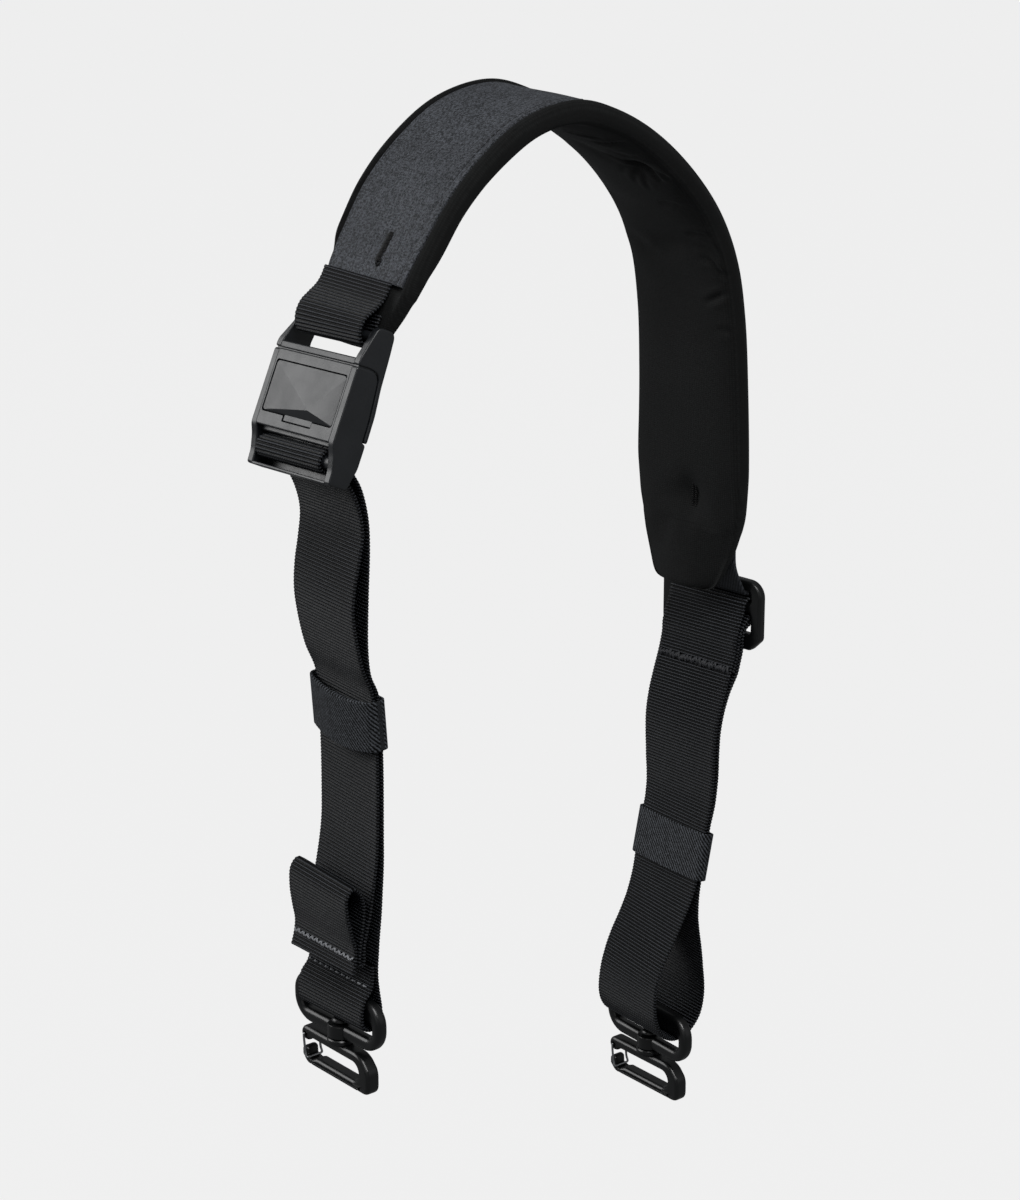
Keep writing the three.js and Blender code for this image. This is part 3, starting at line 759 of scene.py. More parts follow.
@dataclass(frozen=True)
class RibbedNylon:
    """Solution-dyed nylon webbing, woven with heavy cross ribs.

    The eye gets rows of twisted yarn on the ribs with painted shade between the yarns, a painted
    highlight on each rib's crest, painted shade in the near-black grooves between the ribs, and
    soft sheen bands where the webbing bends.

    Args:
        rib_colour_and_highlight: Colour on the ribs, lightened on the crests as a painted
            highlight.
        groove_shade_colour: Painted shade down in the grooves.
        pitch: From rib to rib.
        yarn: Width of one yarn on a rib, drawn twice as coarse as the real one so it shows.
        roughness: Roughness of the ribs.
    """

    rib_colour_and_highlight: str = "#35373b"
    groove_shade_colour: str = "#010101"
    pitch: float = 1.28
    yarn: float = 1.3
    roughness: float = 0.42

    def material(self) -> Material:
        """Builds the webbing's material."""
        made, add = fresh_material("ribbed_nylon_webbing")
        flat = add("Attribute", attribute_name="flat").outputs["Vector"]
        plain = add("Attribute", attribute_name="plain").outputs["Fac"]
        rib = add("TexWave", {"Vector": flat, "Scale": ONE_BAND / self.pitch}, bands_direction="Y")
        # The crest mask mixes the two colours: a painted highlight on each rib's crest and painted
        # shade down in each groove.
        crest = add("MapRange", {
            0: rib, 1: 0.42, 2: 0.95, 3: 0.0, 4: 1.0}, interpolation_type="SMOOTHSTEP")
        twist = (ONE_SLANT / self.yarn, ONE_SLANT / (2 * self.pitch), 0.0)
        yarns = add("TexWave", {
            "Vector": add("Mapping", {0: flat, 3: twist}), "Scale": 1.0},
            bands_direction="DIAGONAL")
        grain = add("TexNoise", {
            "Vector": add("Mapping", {0: flat, 3: (1.2, 0.6, 1.0)}),
            "Scale": 1.0, "Detail": 3.0, "Roughness": 0.6})
        wear = add("TexNoise", {
            "Vector": add("Mapping", {0: flat, 3: (0.05, 0.03, 1.0)}),
            "Scale": 1.0, "Detail": 4.0, "Roughness": 0.55})
        shown = add("Math", {0: crest, 1: plain}, operation="MAXIMUM")
        tone = add("MixRGB", {0: shown, 1: linear(self.groove_shade_colour), 2: linear(self.rib_colour_and_highlight)})
        # The yarn wave darkens the colour between the yarns as painted shade.
        bead = add("MapRange", {0: yarns, 1: 0.0, 2: 0.6, 3: 0.5, 4: 1.15})
        slow = add("MapRange", {0: wear, 1: 0.3, 2: 0.7, 3: 0.86, 4: 1.14})
        level = add("Math", {0: bead, 1: slow}, operation="MULTIPLY")
        fleck = add("MapRange", {0: grain, 1: 0.3, 2: 0.7, 3: 0.8, 4: 1.2})
        shade = add("Math", {0: level, 1: fleck}, operation="MULTIPLY")
        colour = add("VectorMath", {0: tone, 3: shade.outputs[0]}, operation="SCALE")
        weave = add("Math", {0: yarns, 1: shown}, operation="MULTIPLY")
        height = add("Math", {0: grain, 1: 0.5, 2: weave}, operation="MULTIPLY_ADD")
        bump = add("Bump", {"Strength": 1.0, "Distance": 0.07 * MM, "Height": height})
        rough = add("MapRange", {
            0: grain, 1: 0.3, 2: 0.7, 3: self.roughness - 0.05, 4: self.roughness + 0.12})
        shader = add("BsdfPrincipled", {
            "Base Color": colour, "Roughness": rough, "IOR": 1.53,
            "Specular IOR Level": 0.12, "Normal": bump})
        add("OutputMaterial", {"Surface": shader})
        return made


@dataclass(frozen=True)
class SpacerKnit:
    """Polyester spacer knit over foam, matt and soft.

    The eye gets an even charcoal with a fine grain of loops and almost no highlight.

    Args:
        colour: Colour of the knit.
        deep_colour: Colour between its loops.
        wale: Width of one column of loops, drawn a little coarse so it shows.
        course: Height of one row of loops, drawn a little coarse too.
    """

    colour: str = "#222323"
    deep_colour: str = "#080808"
    wale: float = 0.9
    course: float = 0.8

    def material(self) -> Material:
        """Builds the pad's material."""
        made, add = fresh_material("spacer_knit")
        flat = add("Attribute", attribute_name="flat").outputs["Vector"]
        columns = add("TexWave", {
            "Vector": flat, "Scale": ONE_BAND / self.wale}, bands_direction="X")
        rows = add("TexWave", {
            "Vector": flat, "Scale": ONE_BAND / self.course}, bands_direction="Y")
        loops = add("Math", {0: columns, 1: rows}, operation="MULTIPLY")
        grain = add("TexNoise", {"Vector": flat, "Scale": 1.1, "Detail": 3.0, "Roughness": 0.65})
        cloud = add("TexNoise", {"Vector": flat, "Scale": 0.035, "Detail": 4.0, "Roughness": 0.55})
        soft = add("Math", {0: grain, 1: 0.6}, operation="MULTIPLY")
        mixed = add("Math", {0: loops, 1: 0.4, 2: soft}, operation="MULTIPLY_ADD")
        tone = add("MixRGB", {0: mixed, 1: linear(self.deep_colour), 2: linear(self.colour)})
        shade = add("MapRange", {0: cloud, 1: 0.3, 2: 0.7, 3: 0.88, 4: 1.14})
        colour = add("VectorMath", {0: tone, 3: shade.outputs[0]}, operation="SCALE")
        bump = add("Bump", {"Strength": 0.8, "Distance": 0.12 * MM, "Height": mixed})
        shader = add("BsdfPrincipled", {
            "Base Color": colour, "Roughness": 0.88, "IOR": 1.5,
            "Specular IOR Level": 0.15, "Sheen Weight": 0.06, "Sheen Roughness": 0.5,
            "Sheen Tint": linear("#a9adb0"), "Normal": bump})
        add("OutputMaterial", {"Surface": shader})
        return made


@dataclass(frozen=True)
class PlainWeave:
    """Coated nylon pack cloth in a fine plain weave.

    The eye gets a lighter grey than the webbing, flecked thread by thread, and a broad soft
    sheen.

    Args:
        colour: Colour of the thread crowns.
        deep_colour: Colour between the threads.
        thread: From thread to thread, drawn about twice as coarse as the real cloth so it shows.
    """

    colour: str = "#54575d"
    deep_colour: str = "#08090a"
    thread: float = 0.95

    def material(self) -> Material:
        """Builds the panel's material."""
        made, add = fresh_material("plain_weave_nylon")
        flat = add("Attribute", attribute_name="flat").outputs["Vector"]
        over = add("TexWave", {
            "Vector": flat, "Scale": ONE_BAND / self.thread}, bands_direction="X")
        under = add("TexWave", {
            "Vector": flat, "Scale": ONE_BAND / self.thread}, bands_direction="Y")
        grid = add("Math", {0: over, 1: under}, operation="MAXIMUM")
        fleck = add("TexNoise", {"Vector": flat, "Scale": 1.3, "Detail": 3.0, "Roughness": 0.75})
        spread = add("MapRange", {0: fleck, 1: 0.42, 2: 0.6, 3: 0.0, 4: 0.8})
        slub = add("TexNoise", {
            "Vector": add("Mapping", {0: flat, 3: (0.9, 0.12, 1.0)}),
            "Scale": 1.0, "Detail": 4.0, "Roughness": 0.65})
        cloud = add("TexNoise", {"Vector": flat, "Scale": 0.03, "Detail": 3.0, "Roughness": 0.5})
        mixed = add("Math", {0: grid, 1: 0.25, 2: spread}, operation="MULTIPLY_ADD")
        tone = add("MixRGB", {0: mixed, 1: linear(self.deep_colour), 2: linear(self.colour)})
        yarn = add("MapRange", {0: slub, 1: 0.3, 2: 0.7, 3: 0.82, 4: 1.18})
        rubbed = add("MapRange", {0: cloud, 1: 0.3, 2: 0.7, 3: 0.86, 4: 1.16})
        shade = add("Math", {0: yarn, 1: rubbed}, operation="MULTIPLY")
        colour = add("VectorMath", {0: tone, 3: shade.outputs[0]}, operation="SCALE")
        bump = add("Bump", {"Strength": 1.0, "Distance": 0.16 * MM, "Height": mixed})
        shader = add("BsdfPrincipled", {
            "Base Color": colour, "Roughness": 0.58, "IOR": 1.53,
            "Specular IOR Level": 0.2, "Sheen Weight": 0.04, "Sheen Roughness": 0.4,
            "Sheen Tint": linear("#c9cdd4"), "Normal": bump})
        add("OutputMaterial", {"Surface": shader})
        return made


@dataclass(frozen=True)
class TwillElastic:
    """Polyester elastic woven in a twill.

    The eye gets fine slanting lines, matt, with clearly lighter threads.

    Args:
        colour: Colour of the ridges.
        deep_colour: Colour between them.
        ridge: From ridge to ridge, drawn about twice as coarse as the real elastic so it shows.
    """

    colour: str = "#505358"
    deep_colour: str = "#020203"
    ridge: float = 1.6

    def material(self) -> Material:
        """Builds the keepers' material."""
        made, add = fresh_material("twill_elastic")
        flat = add("Attribute", attribute_name="flat").outputs["Vector"]
        lean = (ONE_SLANT / self.ridge, 0.9 * ONE_SLANT / self.ridge, 0.0)
        slant = add("TexWave", {
            "Vector": add("Mapping", {0: flat, 3: lean}), "Scale": 1.0,
            "Distortion": 1.6, "Detail": 1.0, "Detail Scale": 0.5}, bands_direction="DIAGONAL")
        grain = add("TexNoise", {"Vector": flat, "Scale": 1.4, "Detail": 3.0, "Roughness": 0.6})
        soft = add("MapRange", {0: grain, 1: 0.3, 2: 0.7, 3: 0.0, 4: 0.55})
        mixed = add("Math", {0: slant, 1: 0.6, 2: soft}, operation="MULTIPLY_ADD")
        ridged = add("MapRange", {0: mixed, 1: 0.4, 2: 0.9, 3: 0.0, 4: 1.0})
        tone = add("MixRGB", {0: ridged, 1: linear(self.deep_colour), 2: linear(self.colour)})
        bump = add("Bump", {"Strength": 1.0, "Distance": 0.16 * MM, "Height": mixed})
        shader = add("BsdfPrincipled", {
            "Base Color": tone, "Roughness": 0.62, "IOR": 1.53,
            "Specular IOR Level": 0.15, "Sheen Weight": 0.02, "Sheen Roughness": 0.4,
            "Sheen Tint": linear("#c9cdd4"), "Normal": bump})
        add("OutputMaterial", {"Surface": shader})
        return made


@dataclass(frozen=True)
class MouldedNylon:
    """Injection-moulded nylon out of a spark-eroded mould.

    The eye gets a satin skin: an even fine grain and soft wide highlights.

    Args:
        name: The material's name.
        colour: Colour of the plastic.
        roughness: Roughness of the skin.
        grain: Size of the mould's grain, drawn about five times as coarse so it shows.
        depth: How deep the grain is.
        mottle: How far the grain lightens and darkens the colour.
        cloud: Size of the slow changes of tone.
    """

    name: str
    colour: str
    roughness: float
    grain: float = 0.55
    depth: float = 0.03
    mottle: float = 0.12
    cloud: float = 9.0

    def material(self) -> Material:
        """Builds the plastic's material."""
        made, add = fresh_material(self.name)
        point = add("TexCoord").outputs["Object"]
        grain = add("TexNoise", {
            "Vector": point, "Scale": 1 / (self.grain * MM), "Detail": 3.0, "Roughness": 0.6})
        cloud = add("TexNoise", {
            "Vector": point, "Scale": 1 / (self.cloud * MM), "Detail": 5.0, "Roughness": 0.6})
        slow = add("MapRange", {0: cloud, 1: 0.3, 2: 0.7, 3: 0.9, 4: 1.1})
        fine = add("MapRange", {0: grain, 1: 0.3, 2: 0.7, 3: 1 - self.mottle, 4: 1 + self.mottle})
        shade = add("Math", {0: slow, 1: fine}, operation="MULTIPLY")
        colour = add("VectorMath", {
            0: linear(self.colour)[:3], 3: shade.outputs[0]}, operation="SCALE")
        rough = add("MapRange", {
            0: cloud, 1: 0.3, 2: 0.7, 3: self.roughness - 0.05, 4: self.roughness + 0.06})
        bump = add("Bump", {"Strength": 0.6, "Distance": self.depth * MM, "Height": grain})
        shader = add("BsdfPrincipled", {
            "Base Color": colour, "Roughness": rough, "IOR": 1.53,
            "Specular IOR Level": 0.5, "Normal": bump})
        add("OutputMaterial", {"Surface": shader})
        return made


@dataclass(frozen=True)
class DrawnWire:
    """Stainless spring wire, drawn bright.

    The eye gets thin bright highlights along the wire with faint draw lines.

    Args:
        colour: Colour of the steel.
        roughness: Roughness of its surface.
        line: Width of one draw line. It is ten times as long.
    """

    colour: str = "#a3a5a7"
    roughness: float = 0.27
    line: float = 1 / 9

    def material(self) -> Material:
        """Builds the gate wire's material."""
        made, add = fresh_material("drawn_steel_wire")
        point = add("TexCoord").outputs["Object"]
        across = 1 / (self.line * MM)
        lines = add("TexNoise", {
            "Vector": add("Mapping", {0: point, 3: (across, across, across / 10)}),
            "Scale": 1.0, "Detail": 2.0})
        rough = add("MapRange", {
            0: lines, 1: 0.3, 2: 0.7, 3: self.roughness - 0.06, 4: self.roughness + 0.1})
        shader = add("BsdfPrincipled", {
            "Base Color": linear(self.colour), "Metallic": 1.0, "Roughness": rough})
        add("OutputMaterial", {"Surface": shader})
        return made


@dataclass(frozen=True)
class SewingThread:
    """Bonded polyester sewing thread.

    The eye gets a twisted cord with a waxy sheen.

    Args:
        name: The material's name.
        colour: Colour of the thread.
        twist: From turn to turn of the thread's plies.
    """

    name: str
    colour: str
    twist: float = 0.698

    def material(self) -> Material:
        """Builds the thread's material."""
        made, add = fresh_material(self.name)
        point = add("TexCoord").outputs["Object"]
        twist = add("TexWave", {
            "Vector": point, "Scale": ONE_SLANT / (self.twist * MM), "Distortion": 1.0},
            bands_direction="DIAGONAL")
        shade = add("MapRange", {0: twist, 3: 0.6, 4: 1.2})
        colour = add("VectorMath", {
            0: linear(self.colour)[:3], 3: shade.outputs[0]}, operation="SCALE")
        shader = add("BsdfPrincipled", {
            "Base Color": colour, "Roughness": 0.55, "IOR": 1.57,
            "Specular IOR Level": 0.2})
        add("OutputMaterial", {"Surface": shader})
        return made


@dataclass(frozen=True)
class StudioPaper:
    """Matt white paper sweep, lit from behind.

    The eye gets an even pale ground that takes no shadow.

    Args:
        colour: Colour of the paper.
        fibre_colour: Colour of its fibres.
        light_colour: Colour of the light through it.
        glow: Strength of that light.
    """

    colour: str = "#303030"
    fibre_colour: str = "#2e2e2e"
    light_colour: str = "#ffffff"
    glow: float = 0.85

    def material(self) -> Material:
        """Builds the floor's material."""
        made, add = fresh_material("studio_paper")
        fibre = add("TexNoise", {"Scale": 40.0, "Detail": 3.0})
        tone = add("MixRGB", {0: fibre, 1: linear(self.fibre_colour), 2: linear(self.colour)})
        shader = add("BsdfPrincipled", {
            "Base Color": tone, "Roughness": 1.0, "Specular IOR Level": 0.0,
            "Emission Color": linear(self.light_colour), "Emission Strength": self.glow})
        add("OutputMaterial", {"Surface": shader})
        return made


class Wardrobe:
    """All finishes of the strap, each built once."""

    def __init__(self) -> None:
        """Builds the materials."""
        self.webbing = RibbedNylon().material()
        self.knit = SpacerKnit().material()
        self.weave = PlainWeave().material()
        self.elastic = TwillElastic().material()
        self.buckle = MouldedNylon("buckle_satin_nylon", "#1b1d20", 0.36).material()
        self.button = MouldedNylon("button_satin_nylon", "#1c1e21", 0.33).material()
        self.hardware = MouldedNylon("hardware_nylon", "#0b0c0d", 0.3, 0.5, 0.01).material()
        self.wire = DrawnWire().material()
        self.black_thread = SewingThread("black_thread", "#050506").material()
        self.dark_thread = SewingThread("charcoal_thread", "#333437").material()
        self.grey_thread = SewingThread("grey_thread", "#8c8e92").material()
        self.paper = StudioPaper().material()


def dress(piece: Object, material: Material, slot: str, body: str, *replaced: str) -> Object:
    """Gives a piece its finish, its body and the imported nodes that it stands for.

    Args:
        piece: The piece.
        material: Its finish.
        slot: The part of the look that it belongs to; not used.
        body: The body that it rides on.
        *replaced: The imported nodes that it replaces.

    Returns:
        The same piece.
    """
    piece.data.materials.clear()
    piece.data.materials.append(material)
    if replaced:
        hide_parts(*replaced)
    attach(piece, body)
    return piece


# ---- webbing


@dataclass
class Ribbon:
    """A run of ribbed webbing.

    Args:
        name: The piece's name.
        stops: Its route.
        lies: How it lies.
        node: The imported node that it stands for.
        width: Its width.
        ground: Half its thickness in the grooves.
        rib: How far a rib stands up on each face.
        pitch: From rib to rib.
        bead: How far each rib's end stands out of the selvedge.
        plain_to: Where the smooth stretch at its start ends.
    """

    name: str
    stops: tuple
    lies: tuple
    node: str
    width: float = 38.0
    ground: float = 0.3
    rib: float = 0.47
    pitch: float = 1.28
    bead: float = 0.14
    plain_to: float = 0.0

    # Places along one rib, as share of the pitch and share of the rib's height.
    STATIONS = ((0.0, 0.0), (0.13, 0.22), (0.28, 0.75), (0.5, 1.0), (0.72, 0.75), (0.87, 0.22))
    FLAT_COLUMNS = 9
    EDGE_RELIEF = 0.5
    EVEN_CREST = 0.7
    PLAIN_CREST = 0.75
    FADE = 5.0
    FACE_MARK = 3.0

    def __post_init__(self) -> None:
        """Works out the route."""
        self.route = Route(self.stops, self.lies)

    @property
    def length(self) -> float:
        """Length of the cut webbing."""
        return self.route.length

    def section(self) -> list:
        """Places around the section.

        Returns:
            For each, its share of the half width, of the half thickness, of the selvedge bead
            and of the ribs' relief.
        """
        even = [(u, 1.0) for u in np.linspace(-0.9, 0.9, self.FLAT_COLUMNS - 2)]
        flat = [(-0.965, self.EDGE_RELIEF), *even, (0.965, self.EDGE_RELIEF)]
        top = [(-u, 1.0, 0.0, relief) for u, relief in flat]
        bottom = [(u, -1.0, 0.0, relief) for u, relief in flat]
        turn = [(0.99, 0.62), (1.0, 0.0), (0.99, -0.62)]
        far = [(-u, share, 1.0, self.EDGE_RELIEF) for u, share in turn]
        near = [(u, -share, 1.0, self.EDGE_RELIEF) for u, share in turn]
        return [*top, *far, *bottom, *near]

    def piece(self, material: Material) -> Object:
        """Builds the webbing with every rib as real relief.

        Args:
            material: The webbing's finish.

        Returns:
            The piece.
        """
        ribs = int(round(self.length / self.pitch))
        pitch = self.length / ribs
        run = np.array([(i + s) * pitch for i in range(ribs) for s, _ in self.STATIONS])
        crest = np.array([c for _ in range(ribs) for _, c in self.STATIONS])
        run, crest = np.append(run, self.length), np.append(crest, 0.0)
        plain = np.clip((self.plain_to - run) / self.FADE, 0, 1)
        crest = crest * (1 - plain) + self.PLAIN_CREST * plain
        at = self.route.places(run)
        section = np.array(self.section())
        half = self.width / 2
        beads = self.bead * np.sign(section[:, 0]) * section[:, 2]
        u = half * section[:, 0] + beads * (crest - 1)[:, None]
        relief = self.EVEN_CREST + section[:, 3][None, :] * (crest - self.EVEN_CREST)[:, None]
        v = section[:, 1][None, :] * (self.ground + self.rib * relief)
        made = place(self.name, at.skin(u, v).outward())
        along = run[:, None] * (self.pitch / pitch)
        write_flat(made.data, u, along, section[:, 1] * self.FACE_MARK)
        layer = made.data.attributes.new("plain", "FLOAT", "POINT")
        layer.data.foreach_set("value", np.repeat(plain, len(section)).astype(np.float32))
        made.data.shade_smooth()
        dress(made, material, "webbing", "strap", self.node)
        self.length * MM
        return made


# ---- shoulder pad


class Dimple(NamedTuple):
    """A soft pit in the pad, with the piece of its width that it takes."""

    run: float
    u: float
    long: float
    wide: float
    deep: float


class Crease(NamedTuple):
    """A fold line over the pad's inner face, through places given as run and across."""

    path: tuple
    wide: float
    deep: float


INNER_DIMPLES = (
    Dimple(169.0, 13.4, 7, 6, 2.3),
    Dimple(317.6, 4.7, 11, 8, 3.0),
)

INNER_CREASES = (
    Crease(((160.5, -1), (164.5, 7), (168.5, 13), (173, 17), (177.5, 20)), 1.3, 1.5),
    Crease(((166.5, 15), (171, 19.5), (175.5, 26)), 1.1, 0.8),
    Crease(((141, -4), (140.5, 6), (142, 17)), 1.2, 1.1),
    Crease(((148, 3), (148.5, 13), (147, 25)), 1.3, 1.0),
    Crease(((156, 8), (159, 17), (158, 24)), 1.6, 0.5),
    Crease(((170.5, 11.5), (176, 6), (181, 3)), 1.4, 0.45),
    Crease(((172, 13), (178, 10), (184, 9)), 1.5, 0.4),
    Crease(((169, 10), (171, 4), (174, -1)), 1.3, 0.4),
    Crease(((191, 8), (190, 15), (192, 23)), 1.5, 0.5),
    Crease(((207, 13), (206, 20), (208, 27)), 1.4, 0.7),
    Crease(((219, 14), (219, 21), (224, 25), (227, 27)), 1.3, 0.9),
    Crease(((238, 15), (235, 21), (232, 27)), 1.3, 0.9),
    Crease(((247, 20), (249, 27)), 1.5, 0.5),
)


@dataclass
class ShoulderPad:
    """Foam pad in spacer knit with a woven panel on its outer face.

    Args:
        finishes: The strap's materials.
        panel_from: Where the panel starts, as a share of the pad's table.
        panel_to: Where it ends.
        panel_half: Half the panel's greatest width.
        panel_thick: The panel's thickness.
        gap: Clear space under the panel.
        hem: Distance of the sewn line from the panel's edge.
        swell: How far the foam may puff up.
        rise: How far the core stands over the panel at its near and far sides.
        crown: How far the inner face rounds away towards its sides.
        pinch: How much further it rounds away at the sewn lower end.
    """

    finishes: Wardrobe
    panel_from: float = 0.174
    panel_to: float = 0.836
    panel_half: float = 23.0
    panel_thick: float = 1.3
    gap: float = 0.2
    hem: float = 3.4
    swell: float = 1.2
    rise: tuple = (0.3, 1.1)
    crown: float = 1.5
    pinch: float = 2.6

    STEP = 3.0
    FACE_COLUMNS = 18
    SIDE_COLUMNS = 7
    PINCH_FROM = 50.0
    PINCH_OVER = 35.0
    GROOVE = 0.3
    BED_MARGIN = 2.0
    BED_RAMP = 1.5
    FACE_MARK = 4.0
    SWELL_FRAMES = 20
    HELD = 3.0
    SEAM_PITCH = 2.6
    SEAM_STITCH = (0.15, 2.2)
    SEAM_LIFT = -0.24
    PATCH = (37.0, -0.5)
    BARTACK_FROM = 29.6
    BARTACK_STEP = 0.62
    BARTACK_COUNT = 18
    BARTACK_U = 4.8
    KNOT = (29.2, 6.2)
    INNER_TACK_FROM = 313.2
    INNER_TACK_STEP = 0.85
    INNER_TACK_COUNT = 11
    INNER_TACK_COLUMNS = (3.4, 5.0)
    INNER_TACK_LIFT = -2.3

    def __post_init__(self) -> None:
        """Works out the pad's route and its sizes along it."""
        self.route = Route(PAD_ROWS, RIGHT_LIE)
        sizes = np.array([(row.near, row.far, row.thick) for row in PAD_ROWS], float)
        self.sizes = centripetal(sizes, Route.PER_SPAN)

    def size_at(self, run: np.ndarray) -> np.ndarray:
        """Near half width, far half width and thickness at distances from the start."""
        return self.route.spread(self.sizes, run)

    def run_of(self, share: float) -> float:
        """Distance from the start of a share of the table."""
        return float(np.interp(share, self.route.share, self.route.runs))

    def covered(self, run: np.ndarray) -> np.ndarray:
        """1 where the panel lies, 0 away from it, with a short ramp."""
        start = self.run_of(self.panel_from) - self.BED_MARGIN
        stop = self.run_of(self.panel_to) + self.BED_MARGIN
        return np.clip(np.minimum(run - start, stop - run) / self.BED_RAMP + 0.5, 0, 1)

    def panel_edges(self, near: np.ndarray, far: np.ndarray) -> tuple:
        """Distances of the panel's near and far edges from the middle, from the pad's own."""
        margin = 1.0 + 4.0 * np.clip((far - 20.5) / 7.5, 0, 1)
        return np.minimum(self.panel_half, near - 3), np.minimum(self.panel_half, far - margin)

    def section(self, near: float, far: float, thick: float, sunk: float,
                crown: float) -> np.ndarray:
        """Around the core at one place.

        Args:
            near: Half width towards the near side.
            far: Half width towards the far side.
            thick: Thickness of the whole pad.
            sunk: How deep the panel's bed is.
            crown: How far the inner face rounds away.

        Returns:
            Distances across and out from the middle.
        """
        half = thick / 2
        near_edge, far_edge = self.panel_edges(near, far)
        shoulders = []
        for reach, edge, rise in zip((near, far), (near_edge, far_edge), self.rise):
            round_part = float(np.clip(reach - edge - 1.3, 0.8, 3.4))
            lifted = float(np.clip((reach - edge - 1.5) / 1.0, 0, 1)) if sunk > 0 else 0.0
            top = half - sunk + lifted * (sunk + rise)
            shoulders.append((reach, edge, round_part, top))
        made = []
        for sign, (reach, edge, round_part, top) in zip((-1, 1), reversed(shoulders)):
            foot = half - sunk - (self.GROOVE if sunk > 0 else 0.0)
            bank = [(edge - 0.6, half - sunk), (edge + 0.5, foot), (edge + 0.9, top),
                    (max(reach - round_part, edge + 1.1), top)]
            shares = np.linspace(0, 0.9, self.FACE_COLUMNS // 3)
            bed = [(edge * share, half - sunk) for share in shares]
            line = [(sign * a, b) for a, b in [*bed, *bank]]
            made += line[::-1] if sign < 0 else line[1:]
        turns = np.radians(np.linspace(90, -90, self.SIDE_COLUMNS + 2)[1:-1])
        low = half - crown
        sides = []
        for reach, edge, round_part, top in shoulders:
            middle = reach - round_part
            heights = [top if t > 0 else low for t in turns]
            sides.append([(middle + round_part * math.cos(t), height * math.sin(t))
                          for t, height in zip(turns, heights)])
        made += sides[0]
        ends = [shoulders[0][0] - shoulders[0][2], -(shoulders[1][0] - shoulders[1][2])]
        centre, reach = (ends[0] + ends[1]) / 2, (ends[0] - ends[1]) / 2
        for share in np.linspace(1, -1, self.FACE_COLUMNS):
            made.append((centre + share * reach, -half + crown * abs(share) ** 2.4))
        made += [(-a, b) for a, b in reversed(sides[1])]
        return np.array(made)

    def core_form(self) -> tuple[Form, np.ndarray]:
        """The foam core's shape and each corner's place on the flat cloth."""
        run = np.linspace(0, self.route.length, int(self.route.length / self.STEP))
        start, stop = self.run_of(self.panel_from), self.run_of(self.panel_to)
        run = np.sort(np.append(run, [start - 3.4, start - 2, start - 0.8, stop + 0.8, stop + 2]))
        at = self.route.places(run)
        sunk = self.covered(run) * (self.panel_thick + self.gap)
        pinched = np.clip((run - self.route.length + self.PINCH_FROM) / self.PINCH_OVER, 0, 1)
        crown = self.crown + self.pinch * pinched
        rings = np.array([
            self.section(*sizes, *more) for *more, sizes in zip(sunk, crown, self.size_at(run))])
        u, v = rings[..., 0], rings[..., 1]
        flat = np.stack(np.broadcast_arrays(u, run[:, None], np.sign(v) * self.FACE_MARK), -1)
        return at.skin(u, v).outward(), flat.reshape(-1, 3)

    def puff(self, piece: Object, flat: np.ndarray) -> None:
        """Lets the foam swell under its cloth between the seams that hold it.

        Args:
            piece: The core, before its last subdivision.
            flat: Each corner's place on the flat cloth.
        """
        count = len(piece.data.vertices)
        start = np.zeros(count * 3, np.float32)
        piece.data.vertices.foreach_get("co", start)
        held = piece.vertex_groups.new(name="sewn")
        under = flat[:, 2] > 0
        u, run = flat[:, 0], flat[:, 1]
        pits = [np.hypot(run - pit.run, u - pit.u) < self.HELD for pit in INNER_DIMPLES]
        pinned = under | (np.any(pits, axis=0) & (flat[:, 2] < 0))
        pinned |= (run < self.HELD) | (run > self.route.length - self.HELD)
        held.add([int(n) for n in np.flatnonzero(pinned)], 1.0, "REPLACE")
        cloth = piece.modifiers.new("swell", "CLOTH")
        cloth.settings.vertex_group_mass = held.name
        cloth.settings.use_pressure = True
        cloth.settings.uniform_pressure_force = 4.0
        cloth.settings.effector_weights.gravity = 0
        cloth.settings.tension_stiffness = 30
        cloth.settings.compression_stiffness = 12
        cloth.settings.bending_stiffness = 2.0
        cloth.collision_settings.use_collision = False
        for step in range(self.SWELL_FRAMES):
            bpy.context.scene.frame_set(step + 1)
        shown = piece.evaluated_get(bpy.context.evaluated_depsgraph_get())
        moved = np.zeros(count * 3, np.float32)
        shown.data.vertices.foreach_get("co", moved)
        piece.modifiers.clear()
        bpy.context.scene.frame_set(1)
        shift = (moved - start).reshape(-1, 3)
        far = np.linalg.norm(shift, axis=1)
        cap = self.swell * MM
        shift *= (np.tanh(far / cap) * cap / np.maximum(far, 1e-9))[:, None]
        piece.data.vertices.foreach_set("co", (start.reshape(-1, 3) + shift).ravel())
        piece.data.update()
        most = float(np.linalg.norm(shift, axis=1).max()) / MM
        log.info("foam_core swelled by up to %.2f mm", most)

